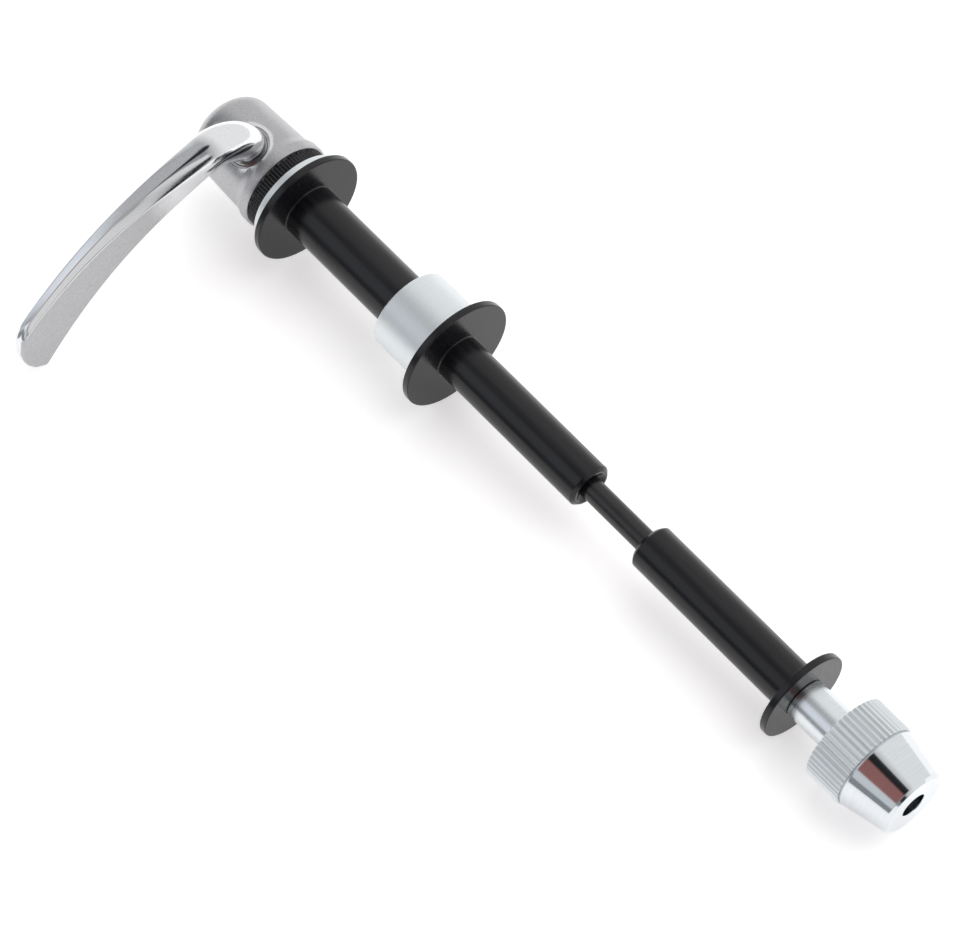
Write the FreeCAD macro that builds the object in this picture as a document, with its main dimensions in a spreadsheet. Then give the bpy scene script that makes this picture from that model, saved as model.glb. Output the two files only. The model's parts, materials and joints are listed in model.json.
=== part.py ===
import FreeCAD, Part
import math
import os
import Sketcher

# A quick-release skewer with an enclosed cam, carrying flanged sleeves.
# The axle runs along X, from the lever's end to the nut.
# The origin is on the axle, at the face where a hub meets the left hub sleeve's flange.

# Driving sizes in millimetres and degrees: name, value, what it measures
SIZES = (
    ("hub_width", 100.0, "between the two flange faces that hold a hub"),
    ("frame_gap", 47.0, "from the frame sleeve's flange face to the left hub sleeve's flange face"),
    ("flange_thickness", 1.6, "all three flanges"),
    ("large_flange_diameter", 26.2, "frame sleeve and left hub sleeve"),
    ("small_flange_diameter", 20.2, "right hub sleeve"),
    ("frame_tube_diameter", 12.0, "frame sleeve's tube"),
    ("hub_tube_diameter", 10.0, "both hub sleeves' tubes"),
    ("left_tube_length", 40.5, "left hub sleeve, from its flange"),
    ("right_tube_length", 42.5, "right hub sleeve, from its flange"),
    ("tube_mouth_diameter", 7.6, "countersink in the open end of a hub sleeve"),
    ("tube_chamfer", 0.7, "outside edge of a tube's open end"),
    ("edge_break", 0.3, "small chamfer on the spacer's rims and the rod's tip"),
    ("rod_diameter", 4.9, "draw rod"),
    ("rod_recess", 4.6, "from the nut's end face in to the rod's tip"),
    ("running_clearance", 0.1, "all round the rod in what slides on it, and under the spacer"),
    ("thread_clearance", 0.05, "all round the rod in the nut"),
    ("press_clearance", 0.02, "all round what is pressed into the head"),
    ("spacer_diameter", 18.6, "spacer ring"),
    ("spacer_length", 13.4, "spacer ring"),
    ("washer_diameter", 22.8, "thrust washer"),
    ("washer_thickness", 1.6, "thrust washer"),
    ("ring_diameter", 20.2, "serrated ring, over its teeth"),
    ("ring_length", 4.6, "serrated ring, outside the head"),
    ("ring_spigot_length", 1.0, "serrated ring, inside the head"),
    ("ring_teeth", 60, "teeth round the serrated ring"),
    ("ring_tooth_depth", 0.45, "serrated ring"),
    ("head_length", 22.7, "head, from its open end to the top of its dome"),
    ("head_diameter", 19.9, "head, next to its lip"),
    ("head_dome_diameter", 19.0, "head, where its taper meets the dome"),
    ("head_lip_diameter", 21.2, "lip round the head's open end"),
    ("head_lip_length", 2.2, "straight part of the lip"),
    ("head_lip_flare", 1.9, "from the lip back to the taper"),
    ("head_crown_radius", 12.0, "sphere of the dome's middle"),
    ("head_corner_radius", 4.6, "round between the dome's middle and the taper"),
    ("head_room", 0.4, "free space round the rod's eye inside the head"),
    ("pivot_setback", 7.7, "from the head's open end to the lever's pivot"),
    ("spot_face_depth", 1.0, "flat under the clip, below the head's surface"),
    ("spot_face_diameter", 8.4, "flat under the clip"),
    ("bush_diameter", 9.3, "pivot bush, outside"),
    ("bush_length", 5.2, "pivot bush"),
    ("bush_recess", 1.4, "from the head's highest line down to the bush's end"),
    ("pivot_clearance", 0.05, "all round the lever's shaft in its bush and in the head"),
    ("cam_diameter", 6.1, "eccentric on the lever's shaft"),
    ("cam_throw", 1.0, "from the pivot's axis to the eccentric's axis"),
    ("cam_slack", 0.28, "all round the eccentric in the rod's eye"),
    ("eye_wall", 1.8, "rod's eye, round its slot"),
    ("eye_thickness", 5.0, "rod's eye, along the pivot"),
    ("eye_side_slack", 0.3, "from the rod's eye to the shoulders beside the cam"),
    ("shaft_end_diameter", 4.0, "lever's shaft beyond the cam"),
    ("shaft_end_overhang", 0.9, "lever's shaft beyond the clip"),
    ("clip_diameter", 6.8, "clip on the lever's shaft"),
    ("clip_thickness", 0.8, "clip on the lever's shaft"),
    ("clip_gap", 2.4, "opening in the clip"),
    ("clip_groove_depth", 0.5, "groove for the clip"),
    ("clip_clearance", 0.1, "from the clip to the flat on the head"),
    ("lever_lean_angle", 20.0, "turn of the pivot about the axle, away from upright"),
    ("lever_splay_angle", 6.0, "outward turn of the lever's arm where it leaves the elbow"),
    ("lever_bar_diameter", 8.2, "lever's shaft and elbow"),
    ("lever_length", 63.3, "from the pivot to the blade's tip"),
    ("lever_bow_radius", 220.0, "curve of the blade, hollow towards the wheel"),
    ("lever_drop", 7.5, "fall of the blade's middle from elbow to tip"),
    ("elbow_radius", 8.0, "bend of the bar's middle"),
    ("elbow_gap", 0.1, "from the head's highest line up to the start of the bend"),
    ("blade_width", 12.9, "blade near its tip, along the pivot"),
    ("blade_thickness", 3.4, "blade near its tip"),
    ("blade_bevel", 0.9, "bevel along the blade's long edges near its tip"),
    ("blade_twist_angle", 9.0, "turn of the blade's section near its tip"),
    ("blade_tip_radius", 7.6, "round of the blade's tip, which runs out into its lower edge"),
    ("nut_neck_diameter", 9.0, "nut, beside the right flange"),
    ("nut_neck_length", 10.9, "nut, beside the right flange"),
    ("nut_diameter", 19.5, "nut, over its knurl"),
    ("nut_knurl_length", 8.5, "knurled band"),
    ("nut_teeth", 56, "teeth round the knurled band"),
    ("nut_tooth_depth", 0.45, "knurled band"),
    ("nut_relief_width", 0.3, "groove between the knurled band and the nose"),
    ("nut_relief_diameter", 18.0, "groove between the knurled band and the nose"),
    ("nut_nose_length", 10.6, "conical nose and the groove before it"),
    ("nut_shoulder_diameter", 18.9, "conical nose beside the groove"),
    ("nut_nose_diameter", 14.9, "conical nose at its end"),
    ("nut_nose_round", 0.6, "chamfer round the nose's end"),
    ("nut_mouth_diameter", 5.5, "hole in the nose's end"),
)

doc = FreeCAD.newDocument("thru_axle_adapter")
sheet = doc.addObject("Spreadsheet::Sheet", "Sizes")
for row, (alias, amount, meaning) in enumerate(SIZES, start=1):
    sheet.set(f"A{row}", alias)
    sheet.set(f"B{row}", str(amount))
    sheet.setAlias(f"B{row}", alias)
    sheet.set(f"C{row}", meaning)
doc.recompute()

# Places along the axle that several pieces share
FRAME_FACE = "(-Sizes.frame_gap - Sizes.flange_thickness)"
HEAD_FACE = f"({FRAME_FACE} - Sizes.washer_thickness - Sizes.ring_length)"
PIVOT = f"({HEAD_FACE} - Sizes.pivot_setback)"
NUT_FACE = "(Sizes.hub_width + Sizes.flange_thickness)"
NUT_LENGTH = "(Sizes.nut_neck_length + Sizes.nut_knurl_length + Sizes.nut_nose_length)"

# Sizes that follow from others
SLIDING_BORE = "(Sizes.rod_diameter / 2 + Sizes.running_clearance)"
SLOT_RADIUS = "(Sizes.cam_diameter / 2 + Sizes.cam_slack)"
EYE_RADIUS = f"({SLOT_RADIUS} + Sizes.eye_wall)"
EYE_REACH = f"({EYE_RADIUS} + Sizes.cam_throw)"
CAVITY_RADIUS = f"(sqrt({EYE_REACH} ^ 2 + (Sizes.eye_thickness / 2) ^ 2) + Sizes.head_room)"
HEAD_TOP = "(Sizes.head_diameter / 2)"
CAM_HALF = "(Sizes.eye_thickness / 2 + Sizes.eye_side_slack)"
BAR_RADIUS = "(Sizes.lever_bar_diameter / 2)"
ELBOW_START = f"({HEAD_TOP} + Sizes.elbow_gap)"
CLIP_TOP = f"({HEAD_TOP} - Sizes.spot_face_depth + Sizes.clip_clearance)"
SHAFT_END = f"({CLIP_TOP} + Sizes.clip_thickness + Sizes.shaft_end_overhang)"

# Turns that put the pivot's axis on a body's own Z, and the lever's arm on its own X
LEAN = "rotation(vector(1; 0; 0); Sizes.lever_lean_angle)"
ARM = f"{LEAN} * rotation(vector(0; 0; 1); -90 - Sizes.lever_splay_angle)"
NO_TURN = "rotation(vector(1; 0; 0); 0)"

HALF_TURN = math.pi
EIGHTH_TURN = math.pi / 4

pieces = []


def number(expression):
    """The number that an expression gives with the sheet's sizes."""
    return float(sheet.evalExpression(str(expression)))


def new_body(label, along, turn=NO_TURN):
    """A body whose own origin lies on the axle at a given place, with a given turn."""
    body = doc.addObject("PartDesign::Body", label)
    body.Label = label
    body.setExpression("Placement", f"placement(vector({along}; 0; 0); {turn})")
    pieces.append(body)
    return body


def new_sketch(body, name, role="XY_Plane", shift=("0", "0", "0"), twist="0"):
    """A sketch on one of the body's own planes, shifted and twisted in that plane's axes."""
    sketch = body.newObject("Sketcher::SketchObject", name)
    plane = next(f for f in body.Origin.OriginFeatures if f.Role == role)
    sketch.AttachmentSupport = [(plane, "")]
    sketch.MapMode = "FlatFace"
    base = f"vector({shift[0]}; {shift[1]}; {shift[2]})"
    sketch.setExpression("AttachmentOffset", f"placement({base}; rotation(vector(0; 0; 1); {twist}))")
    return sketch


def constrain(sketch, plain, sized):
    """Adds constraints, and binds the sized ones to their expressions."""
    sketch.addConstraint([Sketcher.Constraint(*c) for c in plain])
    first = sketch.ConstraintCount
    sketch.addConstraint([Sketcher.Constraint(*c, number(e)) for c, e in sized])
    for index, (_, expression) in enumerate(sized, start=first):
        sketch.setExpression(f"Constraints[{index}]", str(expression))


def draw_outline(sketch, corners):
    """A closed outline of straight lines through corners given as pairs of expressions."""
    points = [FreeCAD.Vector(number(x), number(y), 0) for x, y in corners]
    ends = points[1:] + points[:1]
    lines = [sketch.addGeometry(Part.LineSegment(a, b), False) for a, b in zip(points, ends)]
    joined = [("Coincident", a, 2, b, 1) for a, b in zip(lines, lines[1:] + lines[:1])]
    placed = []
    for line, (x, y) in zip(lines, corners):
        placed.append((("DistanceX", -1, 1, line, 1), x))
        placed.append((("DistanceY", -1, 1, line, 1), y))
    constrain(sketch, joined, placed)


def draw_circle(sketch, radius):
    """A circle about the sketch's own origin."""
    circle = Part.Circle(FreeCAD.Vector(0, 0, 0), FreeCAD.Vector(0, 0, 1), number(radius))
    edge = sketch.addGeometry(circle, False)
    constrain(sketch, [("Coincident", edge, 3, -1, 1)], [(("Radius", edge), radius)])


def draw_slot(sketch, radius, reach):
    """A slot along the sketch's Y, with half rounds whose middles are a given reach from the origin."""
    r, c = number(radius), number(reach)
    normal = FreeCAD.Vector(0, 0, 1)
    top_circle = Part.Circle(FreeCAD.Vector(0, c, 0), normal, r)
    low_circle = Part.Circle(FreeCAD.Vector(0, -c, 0), normal, r)
    top = sketch.addGeometry(Part.ArcOfCircle(top_circle, 0, HALF_TURN))
    low = sketch.addGeometry(Part.ArcOfCircle(low_circle, HALF_TURN, 2 * HALF_TURN))
    left = sketch.addGeometry(Part.LineSegment(FreeCAD.Vector(-r, c, 0), FreeCAD.Vector(-r, -c, 0)))
    right = sketch.addGeometry(Part.LineSegment(FreeCAD.Vector(r, -c, 0), FreeCAD.Vector(r, c, 0)))
    plain = [("Tangent", top, 2, left, 1), ("Tangent", left, 2, low, 1), ("Tangent", low, 2, right, 1),
             ("Tangent", right, 2, top, 1), ("PointOnObject", top, 3, -2),
             ("Symmetric", top, 3, low, 3, -1, 1)]
    constrain(sketch, plain, [(("Radius", top), radius), (("DistanceY", -1, 1, top, 3), reach)])


def draw_split_circle(sketch, radius):
    """A circle about the sketch's own origin, split into eight equal arcs, one across each half axis."""
    circle = Part.Circle(FreeCAD.Vector(0, 0, 0), FreeCAD.Vector(0, 0, 1), number(radius))
    arcs = []
    for turn in range(8):
        start = (turn + 0.5) * EIGHTH_TURN
        arcs.append(sketch.addGeometry(Part.ArcOfCircle(circle, start, start + EIGHTH_TURN)))
    plain = [("Coincident", arc, 3, -1, 1) for arc in arcs[:-1]] + [("Equal", arcs[0], arcs[-1])]
    plain += [("Coincident", a, 2, b, 1) for a, b in zip(arcs, arcs[1:] + arcs[:1])]
    offset = f"{radius} * sin(22.5 deg)"
    sized = [(("Radius", arcs[0]), radius)]
    for direction, above, below in (("DistanceY", 0, 7), ("DistanceX", 1, 2), ("DistanceY", 3, 4),
                                    ("DistanceX", 6, 5)):
        sized.append(((direction, -1, 1, arcs[above], 1), offset))
        sized.append(((direction, arcs[below], 1, -1, 1), offset))
    constrain(sketch, plain, sized)


def draw_bevelled_box(sketch, across, up, bevel):
    """A rectangle with bevelled corners about the sketch's own origin."""
    x, y = f"{across} / 2", f"{up} / 2"
    inner_x, inner_y = f"({x} - {bevel})", f"({y} - {bevel})"
    draw_outline(sketch, [(x, inner_y), (inner_x, y), (f"-{inner_x}", y), (f"-{x}", inner_y),
                          (f"-{x}", f"-{inner_y}"), (f"-{inner_x}", f"-{y}"), (inner_x, f"-{y}"),
                          (x, f"-{inner_y}")])


def add_feature(body, kind, name, **settings):
    """Adds one feature to a body, with its settings, and brings the document up to date."""
    feature = body.newObject(f"PartDesign::{kind}", name)
    for key, setting in settings.items():
        setattr(feature, key, setting)
    body.Tip = feature
    doc.recompute()
    return feature


def turn_profile(body, corners):
    """Turns an outline of (along, radius) corners about the body's own X."""
    sketch = new_sketch(body, f"{body.Name}_profile")
    draw_outline(sketch, corners)
    return add_feature(body, "Revolution", f"{body.Name}_turned", Profile=sketch,
                       ReferenceAxis=(sketch, ["H_Axis"]), Angle=360)


def pad_circle(body, name, radius, length, shift=("0", "0", "0")):
    """Pads a circle along the body's own Z."""
    sketch = new_sketch(body, f"{name}_circle", shift=shift)
    draw_circle(sketch, radius)
    pad = add_feature(body, "Pad", name, Profile=sketch)
    pad.setExpression("Length", str(length))
    return pad


def cut_pocket(body, name, sketch, length, reverse, both_ways=False):
    """Cuts a pocket, and makes sure that it took material away."""
    before = body.Shape.Volume
    pocket = add_feature(body, "Pocket", name, Profile=sketch, Reversed=reverse)
    if both_ways:
        pocket.SideType = "Symmetric"
    pocket.setExpression("Length", str(length))
    doc.recompute()
    if body.Shape.Volume >= before:
        raise RuntimeError(f"{name} cut nothing")
    return pocket


def cut_teeth(body, start, length, radius, depth, count):
    """Cuts straight V grooves round the body's own X.

    A groove takes gap_share of a tooth's pitch at the rim.
    Its outline is taller than its depth, by the factor rise, to end outside the rim.
    """
    gap_share = 0.84
    rise = 1.5
    half_width = f"({gap_share} * pi * {radius} / {count} * {rise})"
    sketch = new_sketch(body, f"{body.Name}_groove", role="YZ_Plane", shift=("0", "0", start))
    top = f"{radius} + ({rise} - 1) * {depth}"
    draw_outline(sketch, [(f"-{half_width}", top), ("0", f"{radius} - {depth}"), (half_width, top)])
    pocket = cut_pocket(body, f"{body.Name}_tooth_gap", sketch, length, reverse=True)
    axis = next(f for f in body.Origin.OriginFeatures if f.Role == "X_Axis")
    pattern = add_feature(body, "PolarPattern", f"{body.Name}_teeth", Originals=[pocket],
                          Axis=(axis, [""]), Angle=360)
    pattern.setExpression("Occurrences", str(count))
    doc.recompute()


def make_frame_sleeve():
    """Tube for the frame's large side, with the flange that bears on the washer."""
    body = new_body("frame_sleeve", FRAME_FACE)
    rim, tube = "Sizes.large_flange_diameter / 2", "Sizes.frame_tube_diameter / 2"
    turn_profile(body, flange(rim) + [("Sizes.flange_thickness", tube), ("Sizes.frame_gap", tube),
                                      ("Sizes.frame_gap", SLIDING_BORE)])


def make_left_hub_sleeve():
    """Tube for a hub's left side, with a large flange."""
    body = new_body("left_hub_sleeve", "-Sizes.flange_thickness")
    length = "(Sizes.flange_thickness + Sizes.left_tube_length)"
    rim, tube = "Sizes.large_flange_diameter / 2", "Sizes.hub_tube_diameter / 2"
    turn_profile(body, open_sleeve(rim, tube, length))


def make_right_hub_sleeve():
    """Tube for a hub's right side, with a small flange, turned to face the left one."""
    body = new_body("right_hub_sleeve", NUT_FACE, "rotation(vector(0; 0; 1); 180)")
    length = "(Sizes.flange_thickness + Sizes.right_tube_length)"
    rim, tube = "Sizes.small_flange_diameter / 2", "Sizes.hub_tube_diameter / 2"
    turn_profile(body, open_sleeve(rim, tube, length))


def flange(rim):
    """Corners of a sleeve's flange, from its bore out to its rim and over to the tube's side."""
    return [("0", SLIDING_BORE), ("0", rim), ("Sizes.flange_thickness", rim)]


def open_sleeve(rim, tube, length):
    """Corners of a hub sleeve: its flange, its tube, and the countersunk mouth of its open end."""
    mouth, chamfer = "Sizes.tube_mouth_diameter / 2", "Sizes.tube_chamfer"
    return flange(rim) + [("Sizes.flange_thickness", tube), (f"{length} - {chamfer}", tube),
                          (length, f"{tube} - {chamfer}"), (length, mouth),
                          (f"{length} - ({mouth} - {SLIDING_BORE})", SLIDING_BORE)]


def make_spacer_ring():
    """Ring that slides on the frame sleeve's tube, up to the left hub sleeve's flange."""
    body = new_body("spacer_ring", "-Sizes.flange_thickness - Sizes.spacer_length")
    bore = "Sizes.frame_tube_diameter / 2 + Sizes.running_clearance"
    rim, length, bevel = "Sizes.spacer_diameter / 2", "Sizes.spacer_length", "Sizes.edge_break"
    turn_profile(body, [("0", bore), ("0", f"{rim} - {bevel}"), (bevel, rim), (f"{length} - {bevel}", rim),
                        (length, f"{rim} - {bevel}"), (length, bore)])


def make_thrust_washer():
    """Plain washer between the serrated ring and the frame sleeve's flange."""
    body = new_body("thrust_washer", f"{FRAME_FACE} - Sizes.washer_thickness")
    rim, length = "Sizes.washer_diameter / 2", "Sizes.washer_thickness"
    turn_profile(body, [("0", SLIDING_BORE), ("0", rim), (length, rim), (length, SLIDING_BORE)])


def make_serrated_ring():
    """Toothed ring that closes the head's open end, with a spigot inside it."""
    body = new_body("serrated_ring", f"{HEAD_FACE} - Sizes.ring_spigot_length")
    rim = "Sizes.ring_diameter / 2"
    spigot = f"({CAVITY_RADIUS} - Sizes.press_clearance)"
    back = "Sizes.ring_spigot_length"
    front = "(Sizes.ring_spigot_length + Sizes.ring_length)"
    turn_profile(body, [("0", SLIDING_BORE), ("0", spigot), (back, spigot), (back, rim), (front, rim),
                        (front, SLIDING_BORE)])
    cut_teeth(body, back, "Sizes.ring_length", rim, "Sizes.ring_tooth_depth", "Sizes.ring_teeth")


def make_knurled_nut():
    """Nut with a neck, a straight-knurled band, and a conical nose behind a turned groove."""
    body = new_body("knurled_nut", NUT_FACE)
    neck, rim, nose = "Sizes.nut_neck_diameter / 2", "Sizes.nut_diameter / 2", "Sizes.nut_nose_diameter / 2"
    bore, mouth = "Sizes.rod_diameter / 2 + Sizes.thread_clearance", "Sizes.nut_mouth_diameter / 2"
    relief, shoulder = "Sizes.nut_relief_diameter / 2", "Sizes.nut_shoulder_diameter / 2"
    back = "Sizes.nut_neck_length"
    band = "(Sizes.nut_neck_length + Sizes.nut_knurl_length)"
    nose_start = f"({band} + Sizes.nut_relief_width)"
    rod_end = f"({NUT_LENGTH} - Sizes.rod_recess)"
    turn_profile(body, [("0", bore), ("0", neck), (back, neck), (back, rim), (band, rim), (band, relief),
                        (nose_start, relief), (nose_start, shoulder),
                        (f"{NUT_LENGTH} - Sizes.nut_nose_round", nose),
                        (NUT_LENGTH, f"{nose} - Sizes.nut_nose_round"), (NUT_LENGTH, mouth),
                        (rod_end, mouth), (rod_end, bore)])
    cut_teeth(body, back, "Sizes.nut_knurl_length", rim, "Sizes.nut_tooth_depth", "Sizes.nut_teeth")


def make_draw_rod():
    """Rod with a flat eye at its drawn end, whose slot lets the cam swing sideways."""
    body = new_body("draw_rod", f"{PIVOT} - Sizes.cam_throw", LEAN)
    thick = "Sizes.eye_thickness"
    outer = new_sketch(body, "eye_outline")
    draw_slot(outer, EYE_RADIUS, "Sizes.cam_throw")
    eye = add_feature(body, "Pad", "eye", Profile=outer, SideType="Symmetric")
    eye.setExpression("Length", thick)
    radius = "Sizes.rod_diameter / 2"
    start = f"{SLOT_RADIUS} + Sizes.eye_wall / 2"
    tip = f"({NUT_FACE} + {NUT_LENGTH} - Sizes.rod_recess - {PIVOT} + Sizes.cam_throw)"
    turn_profile(body, [(start, "0"), (start, radius), (f"{tip} - Sizes.edge_break", radius),
                        (tip, f"{radius} - Sizes.edge_break"), (tip, "0")])
    slot = new_sketch(body, "eye_slot")
    draw_slot(slot, SLOT_RADIUS, "Sizes.cam_throw")
    cut_pocket(body, "eye_opening", slot, f"2 * {thick}", reverse=False, both_ways=True)


def make_cam_head():
    """Head: taper, lip and dome turned about the axle, a blind bore for the eye, and the pivot's holes."""
    body = new_body("cam_head", f"{HEAD_FACE} - Sizes.head_length", LEAN)
    length = "Sizes.head_length"
    pivot = f"({length} - Sizes.pivot_setback)"
    lip, taper = "Sizes.head_lip_diameter / 2", HEAD_TOP
    lip_back = f"{length} - Sizes.head_lip_length"
    cavity_end = f"({pivot} - {EYE_REACH} - Sizes.head_room)"
    sketch = new_sketch(body, "cam_head_profile")
    draw_domed_outline(sketch, [
        (f"{lip_back} - Sizes.head_lip_flare", taper), (lip_back, lip), (length, lip),
        (length, CAVITY_RADIUS), (cavity_end, CAVITY_RADIUS), (cavity_end, "0")])
    add_feature(body, "Revolution", "cam_head_turned", Profile=sketch,
                ReferenceAxis=(sketch, ["H_Axis"]), Angle=360)
    bush_hole = new_sketch(body, "bush_hole_circle", shift=(pivot, "0", "0"))
    draw_circle(bush_hole, "Sizes.bush_diameter / 2 + Sizes.press_clearance")
    cut_pocket(body, "bush_hole", bush_hole, "Sizes.head_diameter", reverse=True)
    shaft_hole = new_sketch(body, "shaft_hole_circle", shift=(pivot, "0", "0"))
    draw_circle(shaft_hole, "Sizes.shaft_end_diameter / 2 + Sizes.pivot_clearance")
    cut_pocket(body, "shaft_hole", shaft_hole, "Sizes.head_diameter", reverse=False)
    spot = new_sketch(body, "spot_face_circle", shift=(pivot, "0", f"Sizes.spot_face_depth - {HEAD_TOP}"))
    draw_circle(spot, "Sizes.spot_face_diameter / 2")
    cut_pocket(body, "spot_face", spot, "Sizes.head_diameter", reverse=False)


def draw_domed_outline(sketch, corners):
    """The head's outline: a crown from the axis, a round tangent to it and to the taper, then corners."""
    crown, bend = "Sizes.head_crown_radius", "Sizes.head_corner_radius"
    edge = "Sizes.head_dome_diameter / 2"
    normal = FreeCAD.Vector(0, 0, 1)
    middle = FreeCAD.Vector(number(crown), 0, 0)
    rise = number(edge) - number(bend)
    inset = math.sqrt((number(crown) - number(bend)) ** 2 - rise ** 2)
    bend_middle = FreeCAD.Vector(number(crown) - inset, rise, 0)
    meeting = math.atan2(rise, -inset)
    crown_circle = Part.Circle(middle, normal, number(crown))
    dome = sketch.addGeometry(Part.ArcOfCircle(crown_circle, meeting, HALF_TURN))
    bend_circle = Part.Circle(bend_middle, normal, number(bend))
    corner = sketch.addGeometry(Part.ArcOfCircle(bend_circle, HALF_TURN / 2, meeting))
    points = [bend_middle + FreeCAD.Vector(0, number(bend), 0)]
    points += [FreeCAD.Vector(number(a), number(b), 0) for a, b in corners]
    points += [FreeCAD.Vector(0, 0, 0)]
    lines = [sketch.addGeometry(Part.LineSegment(a, b), False) for a, b in zip(points, points[1:])]
    plain = [("Coincident", dome, 2, -1, 1), ("PointOnObject", dome, 3, -1), ("Tangent", corner, 2, dome, 1),
             ("Tangent", lines[0], 1, corner, 1), ("Coincident", lines[-1], 2, -1, 1)]
    plain += [("Coincident", a, 2, b, 1) for a, b in zip(lines, lines[1:])]
    sized = [(("Radius", dome), crown), (("Radius", corner), bend),
             (("DistanceY", -1, 1, lines[0], 1), edge)]
    for line, (along, radius) in zip(lines[1:], corners):
        sized.append((("DistanceX", -1, 1, line, 1), along))
        sized.append((("DistanceY", -1, 1, line, 1), radius))
    constrain(sketch, plain, sized)


def make_pivot_bush():
    """Plain bush for the lever's shaft in the head's near wall."""
    body = new_body("pivot_bush", PIVOT, LEAN)
    foot = f"{HEAD_TOP} - Sizes.bush_recess - Sizes.bush_length"
    pad_circle(body, "bush", "Sizes.bush_diameter / 2", "Sizes.bush_length", shift=("0", "0", foot))
    bore = new_sketch(body, "bush_bore_circle", shift=("0", "0", foot))
    draw_circle(bore, f"{BAR_RADIUS} + Sizes.pivot_clearance")
    cut_pocket(body, "bush_bore", bore, "Sizes.bush_length", reverse=True)


def make_pivot_clip():
    """Open ring in the groove near the shaft's end."""
    body = new_body("pivot_clip", PIVOT, ARM)
    foot = f"-{CLIP_TOP} - Sizes.clip_thickness"
    pad_circle(body, "clip", "Sizes.clip_diameter / 2", "Sizes.clip_thickness", shift=("0", "0", foot))
    bore = new_sketch(body, "clip_bore_circle", shift=("0", "0", foot))
    draw_circle(bore, "Sizes.shaft_end_diameter / 2 - Sizes.clip_groove_depth + Sizes.press_clearance")
    cut_pocket(body, "clip_bore", bore, "Sizes.clip_thickness", reverse=True)
    gap = new_sketch(body, "clip_gap_outline", shift=("0", "0", foot))
    half = "Sizes.clip_gap / 2"
    draw_outline(gap, [("0", f"-{half}"), ("Sizes.clip_diameter", f"-{half}"), ("Sizes.clip_diameter", half),
                       ("0", half)])
    cut_pocket(body, "clip_opening", gap, "Sizes.clip_thickness", reverse=True)


def make_cam_lever():
    """Lever in one piece: stepped shaft with its eccentric, a bent bar, and a lofted blade."""
    body = new_body("cam_lever", PIVOT, ARM)
    splay = "Sizes.lever_splay_angle * 1 deg"
    cam_middle = (f"Sizes.cam_throw * sin({splay})", f"-Sizes.cam_throw * cos({splay})", f"-{CAM_HALF}")
    pad_circle(body, "cam", "Sizes.cam_diameter / 2", f"2 * {CAM_HALF}", shift=cam_middle)
    pad_circle(body, "journal", BAR_RADIUS, f"{ELBOW_START} - {CAM_HALF}", shift=("0", "0", CAM_HALF))
    pad_circle(body, "shaft_end", "Sizes.shaft_end_diameter / 2", f"{SHAFT_END} - {CAM_HALF}",
               shift=("0", "0", f"-{SHAFT_END}"))
    cut_clip_groove(body)
    bend_elbow(body)
    loft_blade(body)
    round_tip(body)


def cut_clip_groove(body):
    """Groove round the shaft's end, as wide as the clip."""
    sketch = new_sketch(body, "clip_groove_profile", role="XZ_Plane")
    inner = "Sizes.shaft_end_diameter / 2 - Sizes.clip_groove_depth"
    outer = "Sizes.shaft_end_diameter"
    top, low = f"-{CLIP_TOP}", f"-{CLIP_TOP} - Sizes.clip_thickness"
    draw_outline(sketch, [(inner, low), (outer, low), (outer, top), (inner, top)])
    before = body.Shape.Volume
    add_feature(body, "Groove", "clip_groove", Profile=sketch, ReferenceAxis=(sketch, ["V_Axis"]), Angle=360)
    if body.Shape.Volume >= before:
        raise RuntimeError("the clip's groove cut nothing")


def bend_elbow(body):
    """Bar swept a quarter turn from the pivot's axis to the arm's direction."""
    ring = new_sketch(body, "elbow_circle", shift=("0", "0", ELBOW_START))
    draw_circle(ring, BAR_RADIUS)
    path = new_sketch(body, "elbow_path", role="XZ_Plane")
    bend, start = number("Sizes.elbow_radius"), number(ELBOW_START)
    circle = Part.Circle(FreeCAD.Vector(bend, start, 0), FreeCAD.Vector(0, 0, 1), bend)
    arc = path.addGeometry(Part.ArcOfCircle(circle, HALF_TURN / 2, HALF_TURN), False)
    constrain(path, [("Horizontal", arc, 2, arc, 3), ("Vertical", arc, 1, arc, 3)],
              [(("Radius", arc), "Sizes.elbow_radius"), (("DistanceX", -1, 1, arc, 3), "Sizes.elbow_radius"),
               (("DistanceY", -1, 1, arc, 3), ELBOW_START)])
    add_feature(body, "AdditivePipe", "elbow", Profile=ring, Spine=(path, ["Edge1"]))


def blade_middle(share):
    """Middle of the blade's section at a share of its length: along the arm, across it, and up the pivot."""
    along = f"(Sizes.elbow_radius + {share} * (Sizes.lever_length - Sizes.elbow_radius))"
    across = f"(({share} * (Sizes.lever_length - Sizes.elbow_radius)) ^ 2 / (2 * Sizes.lever_bow_radius))"
    height = f"({ELBOW_START} + Sizes.elbow_radius - Sizes.lever_drop * {share} ^ 2)"
    return along, across, height


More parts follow.
